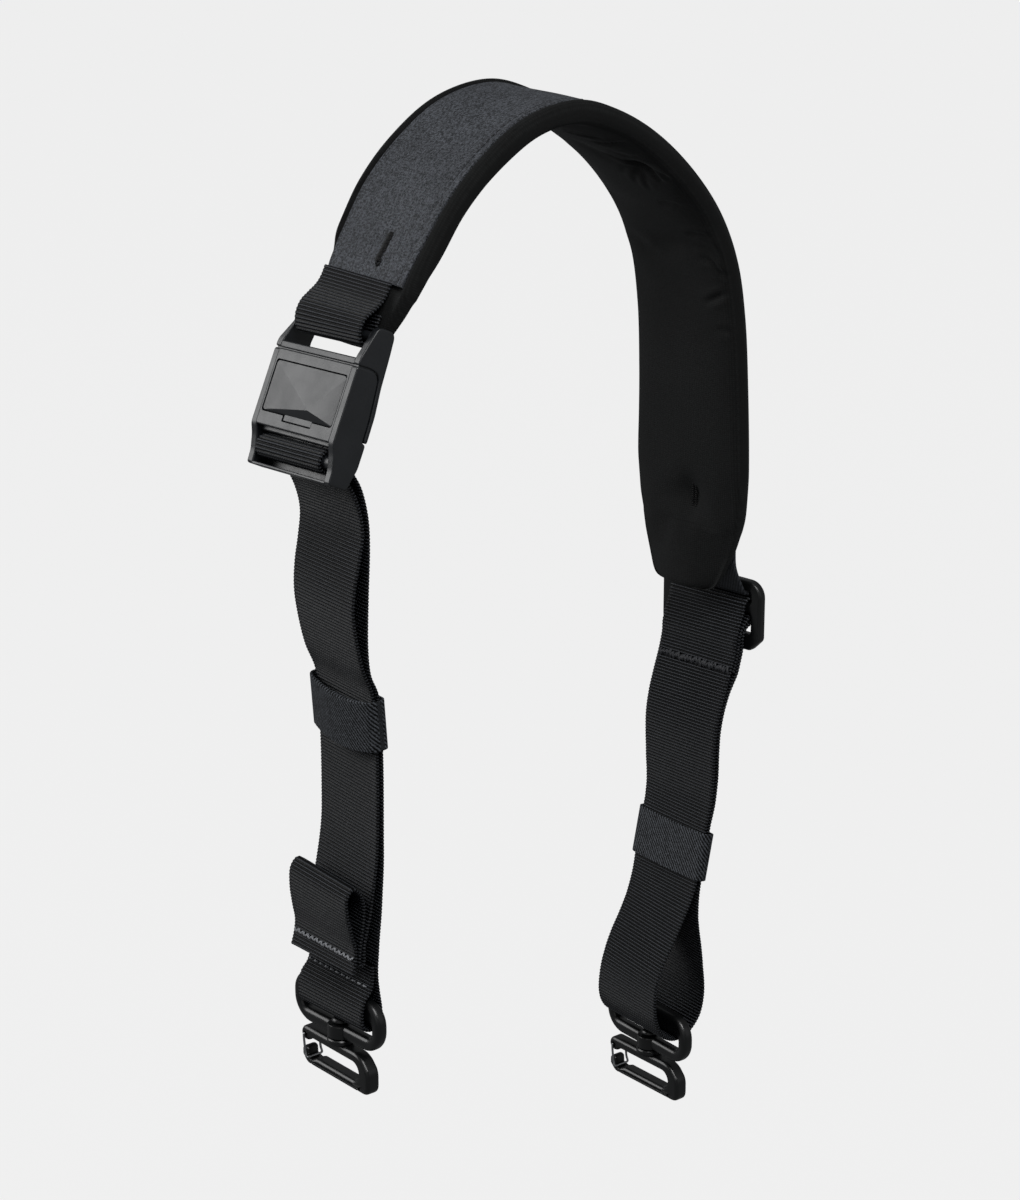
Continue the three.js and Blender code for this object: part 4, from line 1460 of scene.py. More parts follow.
    def crumple(self, piece: Object) -> None:
        """Presses the dimples and creases into the inner face.

        Args:
            piece: The core after its last subdivision.
        """
        mesh = piece.data
        count = len(mesh.vertices)
        flat = np.zeros(count * 3, np.float32)
        mesh.attributes["flat"].data.foreach_get("vector", flat)
        flat = flat.reshape(-1, 3)
        place_now = np.zeros(count * 3, np.float32)
        mesh.vertices.foreach_get("co", place_now)
        normals = np.array([v.normal for v in mesh.vertices])
        u, run = flat[:, 0], flat[:, 1]
        depth = np.zeros(count)
        for pit in INNER_DIMPLES:
            gone = ((run - pit.run) / pit.long) ** 2 + ((u - pit.u) / pit.wide) ** 2
            depth += pit.deep * np.exp(-1.6 * gone)
        for fold in INNER_CREASES:
            line = centripetal(np.array(fold.path, float), 12)
            ahead = unit(np.gradient(line, axis=0))
            gone = np.stack([run, u], axis=1)[:, None] - line[None]
            nearest = np.linalg.norm(gone, axis=2).argmin(axis=1)
            gone = gone[np.arange(count), nearest]
            off = gone[:, 0] * -ahead[nearest, 1] + gone[:, 1] * ahead[nearest, 0]
            past = np.abs((gone * ahead[nearest]).sum(axis=1))
            share = nearest / (len(line) - 1)
            fade = np.clip(np.minimum(share, 1 - share) * 3.2, 0, 1) * np.exp(-past)
            narrow = np.exp(-((off / fold.wide) ** 2))
            bank = np.exp(-(((np.abs(off) - 2.1 * fold.wide) / (1.2 * fold.wide)) ** 2))
            depth += fold.deep * fade * (narrow - 0.35 * bank)
        depth *= np.clip(-flat[:, 2] / self.FACE_MARK * 1.5 + 0.5, 0, 1)
        place_new = place_now.reshape(-1, 3) - normals * (depth * MM)[:, None]
        mesh.vertices.foreach_set("co", place_new.astype(np.float32).ravel())
        mesh.update()

    def core(self) -> Object:
        """Builds the foam core."""
        form, flat = self.core_form()
        made = place("foam_core", form)
        write_flat(made.data, *flat.T)
        self.puff(made, flat)
        step = made.modifiers.new("fine", "SUBSURF")
        step.levels = step.render_levels = 2
        settle(made)
        self.crumple(made)
        made.data.shade_smooth()
        dress(made, self.finishes.knit, "pad_knit", "strap", "pad_core")
        return made

    def panel_profile(self, near: float, far: float) -> list:
        """Around the panel at one place.

        Args:
            near: Distance of its near edge from the middle.
            far: Distance of its far edge.

        Returns:
            Places across, and heights over its underside as shares of its thickness.
        """
        middle, reach = (near - far) / 2, (near + far) / 2 - 0.3
        top = [(middle + s * reach, 1.0) for s in np.linspace(1, -1, 84)]
        far_edge = [(-far + 0.08, 0.85), (-far, 0.5), (-far + 0.08, 0.12)]
        bottom = [(middle + s * reach, 0.0) for s in np.linspace(-1, 1, 10)]
        near_edge = [(near - 0.08, 0.12), (near, 0.5), (near - 0.08, 0.85)]
        return [*top, *far_edge, *bottom, *near_edge]

    def puckers(self, run: np.ndarray, u: np.ndarray, near: np.ndarray,
                far: np.ndarray) -> np.ndarray:
        """How far the panel's face stands out of flat: sewn lines, puckers and soft waves.

        Args:
            run: Distances from the start.
            u: Distances from the middle.
            near: Distances of the near edge from the middle.
            far: Distances of the far edge from the middle.

        Returns:
            The heights.
        """
        made = 0.28 * np.sin(run / 21.0) * np.sin((u + 6) / 9.0) + 0.2 * np.sin(run / 9.5 + u / 7)
        for sign, edge, hem, deep in ((1, near, self.hem, 0.22), (-1, far, 1.6, 0.12)):
            off = sign * u - (edge - hem)
            hatch = np.sin(run * 2 * math.pi / 1.9 + 0.8 * np.sin(run / 7))
            reach = np.exp(-((np.minimum(off, 0) / 4.0) ** 2)) * (off < 0.2)
            lower = np.clip((120 - run) / 60, 0.15, 1) if sign > 0 else 0.0
            made = made - deep * np.exp(-((off / 0.5) ** 2)) + 0.24 * hatch * reach * lower
        patch_run, patch_u = self.PATCH
        patch = np.exp(-(((run - patch_run) / 7.5) ** 4) - ((u - patch_u) / 4.2) ** 4)
        lattice = np.sin(run * 2 * math.pi / 2.1) + np.sin(u * 2 * math.pi / 1.7)
        pull = np.exp(-(((run - 35) / 8.0) ** 2) - ((u - self.BARTACK_U) / 2.2) ** 2)
        return made + patch * (0.2 * lattice + 0.12) - 0.35 * pull

    def panel(self) -> Object:
        """Builds the woven panel with its stitched, slightly puckered edges."""
        start, stop = self.run_of(self.panel_from), self.run_of(self.panel_to)
        run = np.linspace(start, stop, int((stop - start) / 0.7))
        at = self.route.places(run)
        near, far, thick = self.size_at(run).T
        near, far = self.panel_edges(near, far)
        rings = np.array([self.panel_profile(a, b) for a, b in zip(near, far)])
        u, level = rings[..., 0], rings[..., 1]
        v = (thick / 2 - self.panel_thick)[:, None] + level * self.panel_thick
        inboard = np.clip(np.minimum(near[:, None] - u, far[:, None] + u) / 1.5, 0, 1)
        relief = self.puckers(run[:, None], u, near[:, None], far[:, None])
        v += (level > 0.95) * np.clip(relief, -0.5, 0.5) * inboard
        made = place("woven_panel", at.skin(u, v).outward())
        write_flat(made.data, u, run[:, None], level * 2)
        made.data.shade_smooth()
        made.data.set_sharp_from_angle(angle=math.radians(50))
        dress(made, self.finishes.weave, "cover_weave", "strap", "pad_cover")
        return made

    def spot(self, run: float, u: float, outer: bool, lift: float = 0.0) -> tuple:
        """Point over the pad's outer or inner face, and the direction out of it."""
        thick = self.size_at(np.array([run]))[0][2]
        return self.route.spot(run, u, (thick / 2 + lift) * (1 if outer else -1))

    def seams(self) -> None:
        """Sews the panel's near edge and the bartacks."""
        start, stop = self.run_of(self.panel_from) + 1, self.run_of(self.panel_to) - 1
        line = Thread("panel_seam", radius=0.22, rise=0.16)
        for run in np.arange(start, stop - 3, self.SEAM_PITCH):
            ends = []
            for place_on in self.SEAM_STITCH:
                near, far, _ = self.size_at(np.array([run + place_on]))[0]
                edge, _ = self.panel_edges(near, far)
                point, out = self.spot(run + place_on, edge - self.hem, True, self.SEAM_LIFT)
                ends.append(point)
            line.stitch(ends[0], ends[1], out)
        line.piece(self.finishes.dark_thread, "cover_weave")
        tack = Thread("panel_bartack", radius=0.42, rise=0.35)
        for n in range(self.BARTACK_COUNT):
            run = self.BARTACK_FROM + self.BARTACK_STEP * n
            width = 1.2 + 0.45 * math.sin(n * 2.4)
            a, out = self.spot(run, self.BARTACK_U + width, True)
            b, _ = self.spot(run + 0.4, self.BARTACK_U - width, True)
            c, _ = self.spot(run + self.BARTACK_STEP, self.BARTACK_U + width, True)
            tack.stitch(a, b, out)
            tack.stitch(b, c, out)
        knot_run, knot_u = self.KNOT
        for angle in range(0, 360, 60):
            ends = [self.spot(knot_run + 1.2 * math.sin(math.radians(t)),
                              knot_u + 1.0 * math.cos(math.radians(t)), True)
                    for t in (angle, angle + 60)]
            tack.stitch(ends[0][0], ends[1][0], ends[0][1])
        tack.piece(self.finishes.black_thread, "cover_weave")
        inner = Thread("inner_bartack", radius=0.26, rise=0.3)
        for n in range(self.INNER_TACK_COUNT):
            run = self.INNER_TACK_FROM + self.INNER_TACK_STEP * n
            for u in self.INNER_TACK_COLUMNS:
                a, out = self.spot(run, u, False, self.INNER_TACK_LIFT)
                b, _ = self.spot(run + 0.3, u + 1.3, False, self.INNER_TACK_LIFT)
                inner.stitch(a, b, out)
        inner.piece(self.finishes.black_thread, "pad_knit")

    def build(self) -> None:
        """Builds the core, the panel and their seams."""
        self.core()
        self.panel()
        self.seams()
        log.info("shoulder pad: foam_core, woven_panel and their seams")


# ---- strands


@dataclass
class Strands:
    """The three runs of webbing and what is sewn on them.

    Args:
        finishes: The strap's materials.
    """

    finishes: Wardrobe

    def bartack(self, row: Thread, ribbon: Ribbon, run: float, tall: float, lift: float,
                count: int, loose: float, material: Material) -> None:
        """Sews a dense zigzag row across a ribbon.

        Args:
            row: The thread.
            ribbon: The webbing under it.
            run: Where the row's middle is.
            tall: The row's height along the ribbon.
            lift: Height of the cloth's face over the middle line, negative on the inner face.
            count: Stitches in the row.
            loose: How far a stitch's ends stray.
            material: The thread's finish.
        """
        stray = np.random.default_rng(5).uniform(-loose, loose, (count + 1, 2))
        across = np.linspace(-17.8, 17.8, count + 1) + stray[:, 0]
        swings = np.where(np.arange(count + 1) % 2, tall / 2, -tall / 2) + stray[:, 1]
        for n in range(count):
            a, out = ribbon.route.spot(run + float(swings[n]), float(across[n]), lift)
            b, _ = ribbon.route.spot(run + float(swings[n + 1]), float(across[n + 1]), lift)
            row.stitch(a, b, out)
        row.piece(material, "webbing")

    def lockstitch(self, row: Thread, ribbon: Ribbon, run: float, lift: float, pitch: float,
                   material: Material) -> None:
        """Sews a straight row of single stitches across a ribbon.

        Args:
            row: The thread.
            ribbon: The webbing under it.
            run: Where the row is.
            lift: Height of the cloth's face over the middle line, negative on the inner face.
            pitch: From stitch to stitch.
            material: The thread's finish.
        """
        for u in np.arange(-17.5, 17.2, pitch):
            a, out = ribbon.route.spot(run, float(u), lift)
            b, _ = ribbon.route.spot(run + 0.2, float(u) + pitch * 0.55, lift)
            row.stitch(a, b, out)
        row.piece(material, "webbing")

    def build(self) -> None:
        """Builds the webbing and its sewn rows."""
        upper = Ribbon("upper_strap_loop", UPPER_LOOP_STOPS, LOOP_LIE, "upper_loop")
        left = Ribbon("left_strap", LEFT_STOPS, LEFT_LIE, "left_webbing")
        right = Ribbon("right_strap", RIGHT_STOPS, RIGHT_LIE, "right_webbing", plain_to=31.0)
        for ribbon in (upper, left, right):
            ribbon.piece(self.finishes.webbing)
            log.info("%s: %.0f mm of webbing", ribbon.name, ribbon.length)
        grey, dark = self.finishes.grey_thread, self.finishes.dark_thread
        self.bartack(Thread("left_tab_bartack", 0.42, 0.45), left, run=left.length - 6.2, tall=1.9,
                     lift=-0.75, count=26, loose=0.15, material=grey)
        self.lockstitch(Thread("left_ring_stitches", 0.42, 0.5), left, run=9.0, lift=-0.75,
                        pitch=3.2, material=grey)
        self.bartack(Thread("right_front_bartack", 0.4, 0.5), right, run=right.length - 66.3,
                     tall=3.2, lift=0.7, count=46, loose=0.5, material=dark)


# ---- keepers


@dataclass
class Keeper:
    """Elastic band around two layers of webbing.

    Args:
        name: The piece's name.
        node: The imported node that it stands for.
        x: Its middle.
        z: Its middle's height.
        lean: Turn about Y.
        yaw: Turn about Z.
        bulge: How far its front stands out in the middle.
        sag: How far the middle of its front hangs.
        thick: Its depth over both layers of webbing.
        width: Its width over them.
        wall: Thickness of the elastic.
        height: Its height.
        corner: Radius of its corners.
    """

    name: str
    node: str
    x: float
    z: float
    lean: float
    yaw: float
    bulge: float
    sag: float
    thick: float
    width: float = 41.8
    wall: float = 0.9
    height: float = 19.0
    corner: float = 2.4

    LEVELS = 28
    LIP = 0.512

    def outline(self) -> np.ndarray:
        """The band's outer outline seen from above, with a point for about each millimetre."""
        outline = rounded_rectangle(self.thick, self.width, self.corner, steps=6)
        outline = wound(outline, True)
        spaced = []
        for i, point in enumerate(outline):
            after = outline[(i + 1) % len(outline)]
            count = max(1, int(np.linalg.norm(after - point) / 1.0))
            spaced += [point + (after - point) * k / count for k in range(count)]
        return np.array(spaced)

    def piece(self, finishes: Wardrobe) -> Object:
        """Builds the band.

        Args:
            finishes: The strap's materials.

        Returns:
            The band.
        """
        outline = self.outline()
        inner = inset(outline, self.wall)
        middle = (outline + inner) / 2
        levels = np.linspace(-0.5, 0.5, self.LEVELS)
        rows = [*((outline, level, 1.0) for level in levels), (middle, self.LIP, 0.5),
                *((inner, level, 0.0) for level in levels[::-1]), (middle, -self.LIP, 0.5)]
        steps = np.linalg.norm(outline - np.roll(outline, 1, axis=0), axis=1)
        around = np.cumsum(steps)
        corners, flat = [], []
        for loop, level, side in rows:
            share = np.clip(np.abs(loop[:, 1]) / (self.width / 2), 0, 1)
            front = np.clip(-loop[:, 0] / (self.thick / 2), 0, 1) * (1 - share**2)
            fray = 0.1 * np.sin(loop[:, 1] * 2.9 + level * 60) * (level < 0)
            x = loop[:, 0] - self.bulge * front
            z = level * self.height + fray - self.sag * front
            corners.append(np.stack([x, loop[:, 1], z], axis=1))
            flat.append(np.stack([around, np.full(len(loop), level * self.height),
                                  np.full(len(loop), side)], axis=1))
        count = len(outline)
        faces = []
        for i in range(len(rows)):
            faces += quads(i * count, (i + 1) % len(rows) * count, count)
        form = Form(np.vstack(corners), faces).outward()
        made = place(self.name, form.moved(standing(self.x, self.z, self.yaw, self.lean)))
        write_flat(made.data, *np.vstack(flat).T)
        made.data.shade_smooth()
        made.data.set_sharp_from_angle(angle=math.radians(50))
        dress(made, finishes.elastic, "elastic", "strap", self.node)
        round_trip = 2 * (self.width + self.thick) - 8 * self.corner + 2 * math.pi * self.corner
        log.info("%s: elastic band %.0f mm round", self.name, round_trip)
        return made


# ---- rings, hooks and slider


@dataclass
class EndFitting:
    """Ring, swivelling hook and wire gate at one end of the strap.

    Args:
        side: The strap's side, left or right.
        x: Middle of the ring.
        z: Height of the ring's upper bar.
        yaw: The ring's turn about the vertical.
        finishes: The strap's materials.
    """

    side: str
    x: float
    z: float
    yaw: float
    finishes: Wardrobe

    RING_WIDTH = 50.0
    RING_HEIGHT = 20.5
    RING_THICK = 5.2
    TOP = 2.5
    BAR = 8.5
    SLOT = 6.5
    OPENING = 40.5
    GAP = 0.35
    FLANGE_HEIGHT = 2.0
    BOSS = 5.0
    BORE = 2.4
    POST = 2.0
    LIMB = 4.1
    PIVOT_Y = 18.3
    PIVOT_DROP = 2.9
    GATE_LEGS = 3.6
    GATE_WIRE = 0.45

    @property
    def hook_top(self) -> float:
        """Height of the hook's upper limb below the ring's bar."""
        return self.TOP - self.RING_HEIGHT - self.GAP - self.FLANGE_HEIGHT

    def ring(self) -> Object:
        """Builds the ring with its boss for the hook's post."""
        top = self.TOP
        bottom = top - self.RING_HEIGHT
        outer = rounded_rectangle(self.RING_WIDTH, self.RING_HEIGHT, 9, 9.6, 12)
        outer = shifted(outer, 0, top - self.RING_HEIGHT / 2)
        hole = rounded_rectangle(self.OPENING, self.SLOT, 1.4, 3.2, 10)
        hole = shifted(hole, 0, top - self.BAR - self.SLOT / 2)
        boss_height = self.RING_HEIGHT - self.BAR - self.SLOT
        boss = turned_bar([(self.BOSS - 0.5, bottom), (self.BOSS - 0.1, bottom + 0.3),
                           (self.BOSS, bottom + 0.8), (self.BOSS, bottom + boss_height - 0.8),
                           (self.BOSS - 0.3, bottom + boss_height - 0.25),
                           (self.BOSS - 0.8, bottom + boss_height)])
        bore = turned_bar([(self.BORE, bottom - 1), (self.BORE, bottom + boss_height + 1)], 32)
        form = combine(plate(outer, [hole], self.RING_THICK, 2.0, 6), [boss], [bore])
        made = moulded(f"{self.side}_end_ring", form, standing(self.x, self.z, self.yaw))
        return dress(made, self.finishes.hardware, "hardware_plastic", "strap",
                     f"{self.side}_ring")

    def hook_outline(self) -> list:
        """Outline of the hook, across and up."""
        top = self.hook_top
        near, far, drop, limb = -19.9, 20.8, 15.2, self.LIMB
        ear = self.PIVOT_DROP
        cut = ear * math.sqrt(0.5)

        def at(y: float, down: float) -> tuple:
            """Point at a distance across and down from the hook's top."""
            return (y, top - down)

        eye = (at(-10, (limb + 11.5) / 2), (11.5 - limb) / 2)
        return [
            at(self.PIVOT_Y, 0), at(-11, 0),
            *bend(at(-11, 0), at(-14, 0), at(-16.5, 2)), at(-18.9, 4.6),
            *bend(at(-18.9, 4.6), at(near, 6.4), at(near, 8.4)), at(near, 11.5),
            *bend(at(near, 11.5), at(near, drop), at(-16.2, drop), 10), at(15.5, drop - 0.4),
            *bend(at(15.5, drop - 0.4), at(19.6, drop - 0.9), at(far, 12)), at(far, 9.6),
            *bend(at(far, 9.6), at(19.2, 7.6), at(17.5, 9.4)), at(17.3, 12.2),
            *bend(at(17.3, 12.2), at(16.3, 13.2), at(15.3, 12.9), 4), at(12, 11.5), at(-10, 11.5),
            *arc(*eye, 270, 90, 16), at(14, limb),
            *bend(at(14, limb), at(15.2, limb), at(self.PIVOT_Y - cut, ear + cut), 4),
            *arc(at(self.PIVOT_Y, ear), ear, 225, 450, 16),
        ]

    def hook(self) -> Object:
        """Builds the hook with its post, flange, side grooves and ear hole."""
        top = self.hook_top
        ring_bottom = self.TOP - self.RING_HEIGHT
        head_foot = self.TOP - self.BAR - self.SLOT + self.GAP
        flange_top = ring_bottom - self.GAP
        flange = turned_bar([(4.4, top - 0.6), (5.2, top + 0.25), (5.2, flange_top - 0.45),
                             (4.8, flange_top)])
        post = turned_bar([(self.POST, top - 0.4), (self.POST, head_foot + 0.6)])
        head = turned_bar([(2.9, head_foot), (3.3, head_foot + 0.35), (3.25, head_foot + 0.9),
                           (2.8, head_foot + 1.55), (1.9, head_foot + 2.0)])
        hole = turned_bar([(1.0, -10), (1.0, 10)], 24).moved(
            Matrix.Translation((0, self.PIVOT_Y, top - self.PIVOT_DROP)) @ turn(90, "Y"))
        groove = shifted(rounded_rectangle(28, 0.9, 0.44), -0.5, top - 13.4)
        grooves = [plate(groove, [], 1.4, 0.2, 2).moved(Matrix.Translation((x, 0, 0)))
                   for x in (-3.2, 3.2)]
        form = combine(plate(self.hook_outline(), [], 6.0, 1.5, 5), [flange, post, head],
                       [hole, *grooves])
        made = moulded(f"{self.side}_snap_hook", form, standing(self.x, self.z))
        return dress(made, self.finishes.hardware, "hardware_plastic", f"{self.side}_hook",
                     f"{self.side}_hook")

    def gate(self) -> Object:
        """Builds the bent wire gate."""
        top, legs = self.hook_top, self.GATE_LEGS
        leg = [(self.PIVOT_Y, self.PIVOT_DROP), (18.4, 3.9), (18.1, 7.0), (17.6, 10.4),
               (16.9, 12.0)]
        points = [(1.1, self.PIVOT_Y, top - self.PIVOT_DROP),
                  (legs - 0.7, self.PIVOT_Y, top - self.PIVOT_DROP)]
        points += [(legs, y, top - down) for y, down in leg]
        points += [(legs - 0.6, 16.5, top - 12.2), (1.5, 16.4, top - 12.2)]
        points += [(-x, y, z) for x, y, z in reversed(points)]
        line = centripetal(np.array(points, float), 8)
        made = moulded(f"{self.side}_wire_gate", tube(line, self.GATE_WIRE, 14),
                       standing(self.x, self.z), 50, False)
        return dress(made, self.finishes.wire, "gate_wire", f"{self.side}_gate",
                     f"{self.side}_gate")

    def build(self) -> None:
        """Builds the end's three pieces."""
        self.ring()
        self.hook()
        self.gate()
        log.info("%s end: ring, hook and wire gate", self.side)


@dataclass
class Slider:
    """Three-bar slider that holds the right strand's adjusted length.

    Args:
        finishes: The strap's materials.
        x: Its middle.
        z: Height of its middle bar.
        yaw: Turn about the vertical.
        width: Its width.
        thick: Its thickness.
        opening: Width of its slots.
        edge: Height of its top bar.
        lower_edge: Height of its bottom bar.
        bar: Height of its middle bar.
        upper_slot: Height of its upper slot.
        lower_slot: Height of its lower slot.
        cut: Size of its cut lower corners.
        corner: Radius of its upper corners.
    """

    finishes: Wardrobe
    x: float = 95.0
    z: float = -202.0
    yaw: float = 8.0
    width: float = 49.0
    thick: float = 4.0
    opening: float = 39.4
    edge: float = 4.2
    lower_edge: float = 6.8
    bar: float = 4.2
    upper_slot: float = 4.8
    lower_slot: float = 8.6
    cut: float = 4.8
    corner: float = 6.5

    def build(self) -> Object:
        """Builds the slider."""
        top = self.bar / 2 + self.upper_slot + self.edge
        bottom = -self.bar / 2 - self.lower_slot - self.lower_edge
        side, cut, low = self.width / 2, self.cut, bottom + self.cut
        flank = [(side - cut - 1.2, bottom),
                 *bend((side - cut - 1.2, bottom), (side - cut, bottom),
                       (side - cut + 0.9, bottom + 0.9)),
                 *bend((side - 0.9, low - 0.9), (side, low), (side, low + 1.2)),
                 *arc((side - self.corner, top - self.corner), self.corner, 0, 90)]
        outer = [*flank, *((-a, b) for a, b in reversed(flank))]
        upper = shifted(rounded_rectangle(self.opening, self.upper_slot, 1.4), 0,
                        (self.bar + self.upper_slot) / 2)
        lower = shifted(rounded_rectangle(self.opening, self.lower_slot, 1.4), 0,
                        -(self.bar + self.lower_slot) / 2)
        form = plate(outer, [upper, lower], self.thick, 1.1, 5)
        made = moulded("three_bar_slider", form, standing(self.x, self.z, self.yaw))
        log.info("slider built")
        return dress(made, self.finishes.hardware, "hardware_plastic", "strap", "right_slider")


# ---- release buckle


class Block(NamedTuple):
    """A box with rounded edges: its ranges in depth, across and up, and its edges' radius."""

    depth: tuple
    across: tuple
    up: tuple
    ease: float


# Side walls and arms as depth behind the face, and height over its middle.
LOWER_WALL = ((0, 14.55), (0, -13.3), (1.8, -17), (3.4, -22.5), (3.6, -27.3), (11.8, -27.3),
              (14.0, -19), (14.0, -10.2), (12.2, -9.8), (12.0, -2), (11.0, 8), (10.4, 12.2),
              (9.0, 14.2), (5.9, 14.9))
UPPER_ARM = ((0, 14.9), (5.9, 15.2), (9.3, 14.5), (10.9, 12.6), (11.5, 8.2), (12.6, -2),
             (12.8, -9.5), (14.4, -9.8), (14.2, 0), (13.0, 10), (12.4, 21.3), (11.8, 28.2),
             (10.4, 29.8), (5.2, 29.8), (3.6, 28.6), (0.3, 17.8))

WITHIN_WALLS = (-21.4, 21.4)
FACE_BLOCK = Block((0.0, 8.5), WITHIN_WALLS, (-13.3, 14.55), 0.5)
SILL = Block((3.7, 11.6), WITHIN_WALLS, (-27.25, -26.2), 0.35)
SILL_BACK = Block((10.3, 11.6), WITHIN_WALLS, (-27.2, -23.6), 0.35)
FACE_FOOT = Block((3.0, 8.4), WITHIN_WALLS, (-14.8, -12.6), 0.5)
FACE_BACK = Block((8.0, 11.8), WITHIN_WALLS, (-15.7, -12.2), 0.4)
SEAM_POCKET = Block((0.5, 8.9), (-23.8, 23.8), (12.9, 16.0), 0.2)
BUTTON_WELL = Block((-2.0, 2.8), (-20.45, 20.45), (-8.45, 10.75), 0.8)
LEDGE_NOTCH = Block((-2.3, 2.65), (-9.4, 7.4), (-10.6, -7.9), 0.3)
SEAM_BAR = Block((0.2, 9.0), WITHIN_WALLS, (14.9, 17.4), 0.5)
SEAM_TONGUE = Block((0.8, 8.5), (-23.5, 23.5), (13.3, 15.6), 0.2)
BACK_STRAP = Block((12.75, 14.2), WITHIN_WALLS, (-9.4, 0.1), 0.4)
THUMB_LEDGE = Block((0.3, 2.3), (-9.05, 7.05), (-10.25, -7.0), 0.3)


@dataclass
class ReleaseBuckle:
    """Two moulded halves and the faceted release button between them.

    Args:
        finishes: The strap's materials.
        x: Middle of the face.
        z: Height of the face's middle.
        lean: Turn about Y.
        tilt: Turn about X.
        half: Half the buckle's width.
        inner: Half the clear width between its walls.
        sharp_over: Least angle of a sharp edge.
    """

    finishes: Wardrobe
    x: float = -103.8
    z: float = -84.3
    lean: float = 26.0
    tilt: float = 3.0
    half: float = 24.1
    inner: float = 20.9
    sharp_over: float = 28.0

    @property
    def matrix(self) -> Matrix:
        """Where the buckle stands."""
        turned = turn(-self.tilt, "X") @ turn(self.lean, "Y")
        return Matrix.Translation((self.x, 0, self.z)) @ turned

    def wall(self, profile: tuple, start: float, stop: float, ease: float = 0.55) -> Form:
        """Side wall of a half.

        Args:
            profile: Its outline in depth and height.
            start: Where it starts across the buckle.
            stop: Where it stops.
            ease: Radius of its edges.

        Returns:
            The wall in the buckle's own frame.
        """
        flat = plate(soften(list(profile), 1.2), [], stop - start, ease)
        turned = flat.corners[:, [1, 0, 2]].copy()
        turned[:, 1] += (start + stop) / 2
        return Form(turned, flat.faces).outward()

    def solid(self, block: Block) -> Form:
        """The shape of a block.

        Args:
            block: The block.

        Returns:
            Its shape in the buckle's own frame.
        """
        ranges = (block.depth, block.across, block.up)
        size = [b - a for a, b in ranges]
        middle = [(a + b) / 2 for a, b in ranges]
        outline = rounded_rectangle(size[1], size[2], max(block.ease * 1.5, 0.3), steps=5)
        return plate(outline, [], size[0], block.ease).moved(Matrix.Translation(middle))

    def far_arm(self) -> Form:
        """The upper half's far arm, which narrows towards the strap above the face."""
        arm = self.wall(UPPER_ARM, self.inner, self.half)
        share = np.clip((arm.corners[:, 2] - 17.4) / 8.0, 0, 1)
        outside = (arm.corners[:, 1] - self.inner) / (self.half - self.inner)
        arm.corners[:, 1] -= share**2 * (3 - 2 * share) * (1.3 + 1.9 * outside)
        return arm

    def cross_bar(self, radius: float, depth: float, up: float, far: float) -> Form:
        """Round bar across the buckle.

        Args:
            radius: The bar's radius.
            depth: Its depth behind the face.
            up: Its height over the face's middle.
            far: How far it reaches towards the far wall.

        Returns:
            The bar, which starts in the near wall.
        """
        bar = turned_bar([(radius, -far), (radius, self.inner + 0.5)], 28)
        return bar.moved(Matrix.Translation((depth, 0, up)) @ turn(90, "X"))

    def put(self, name: str, form: Form, node: str) -> Object:
        """Places one of the buckle's halves and dresses it."""
        made = moulded(name, form, self.matrix, self.sharp_over)
        return dress(made, self.finishes.buckle, "buckle_plastic", "strap", node)

    def lower_half(self) -> None:
        """Builds the half that carries the button and the adjusting bar."""
        joined = [self.wall(LOWER_WALL, self.inner, self.half),
                  self.wall(LOWER_WALL, -self.half, -self.inner),
                  self.cross_bar(2.7, 5.6, -19.6, self.inner + 0.5),
                  *map(self.solid, (SILL, SILL_BACK, FACE_FOOT, FACE_BACK))]
        cut = [*map(self.solid, (SEAM_POCKET, BUTTON_WELL, LEDGE_NOTCH))]
        form = combine(self.solid(FACE_BLOCK), joined, cut)
        self.put("buckle_base_half", form, "buckle_lower")

    def upper_half(self) -> None:
        """Builds the half that hangs from the pad's loop, with the tongue behind the seam."""
        form = combine(self.far_arm(), [self.wall(UPPER_ARM, -self.half, -self.inner),
                                        self.cross_bar(1.7, 4.2, 26, 20.2),
                                        *map(self.solid, (SEAM_BAR, SEAM_TONGUE, BACK_STRAP))])
        self.put("buckle_hung_half", form, "buckle_upper")

    def button(self) -> None:
        """Builds the release button: a tile with three facets and a thumb ledge."""
        reach, low, high, floor, rim = 20.15, -8.15, 10.45, 2.4, 0.2
        peak = (-2.1, -7.4, -4.7)
        outline = wound(rounded_rectangle(2 * reach, high - low, 1.5, steps=4), True)
        outline = outline + np.array([0, (low + high) / 2])
        inner = inset(outline, 0.25)
        count = len(outline)
        corners = [(floor, a, b) for a, b in outline]
        corners += [(rim + 0.25, a, b) for a, b in outline]
        corners += [(rim, a, b) for a, b in inner]
        corners.append(peak)
        faces = [tuple(range(count))]
        faces += [*quads(0, count, count), *quads(count, 2 * count, count)]
        for j in range(count):
            faces.append((2 * count + j, 2 * count + (j + 1) % count, 3 * count))
        tile = Form(np.array(corners, float), faces).outward()
        form = combine(tile, [self.solid(THUMB_LEDGE)])
        made = moulded("release_button", form, self.matrix, self.sharp_over)
        hips = [(a, b) for a in (-reach, reach) for b in (low, high)]
        self.crease(made, form.corners, peak, [hip for hip in hips if hip != (-reach, high)])
        dress(made, self.finishes.button, "button_plastic", "strap", "buckle_button")

    def crease(self, made: Object, corners: np.ndarray, peak: tuple, hips: list) -> None:
        """Marks the sharp edges from the button's peak to some of its corners.

        Args:
            made: The button.
            corners: Its corners in the buckle's own frame.
            peak: The peak's place.
            hips: Places across and up of the corners that a sharp edge runs to.
        """
        top = int(np.linalg.norm(corners - peak, axis=1).argmin())
        ends = {edge.vertices[1 - list(edge.vertices).index(top)]: edge
                for edge in made.data.edges if top in edge.vertices}
        for edge in ends.values():
            edge.use_edge_sharp = False
        for hip in hips:
            nearest = min(ends, key=lambda n: math.dist(corners[n][1:], hip))
            ends[nearest].use_edge_sharp = True

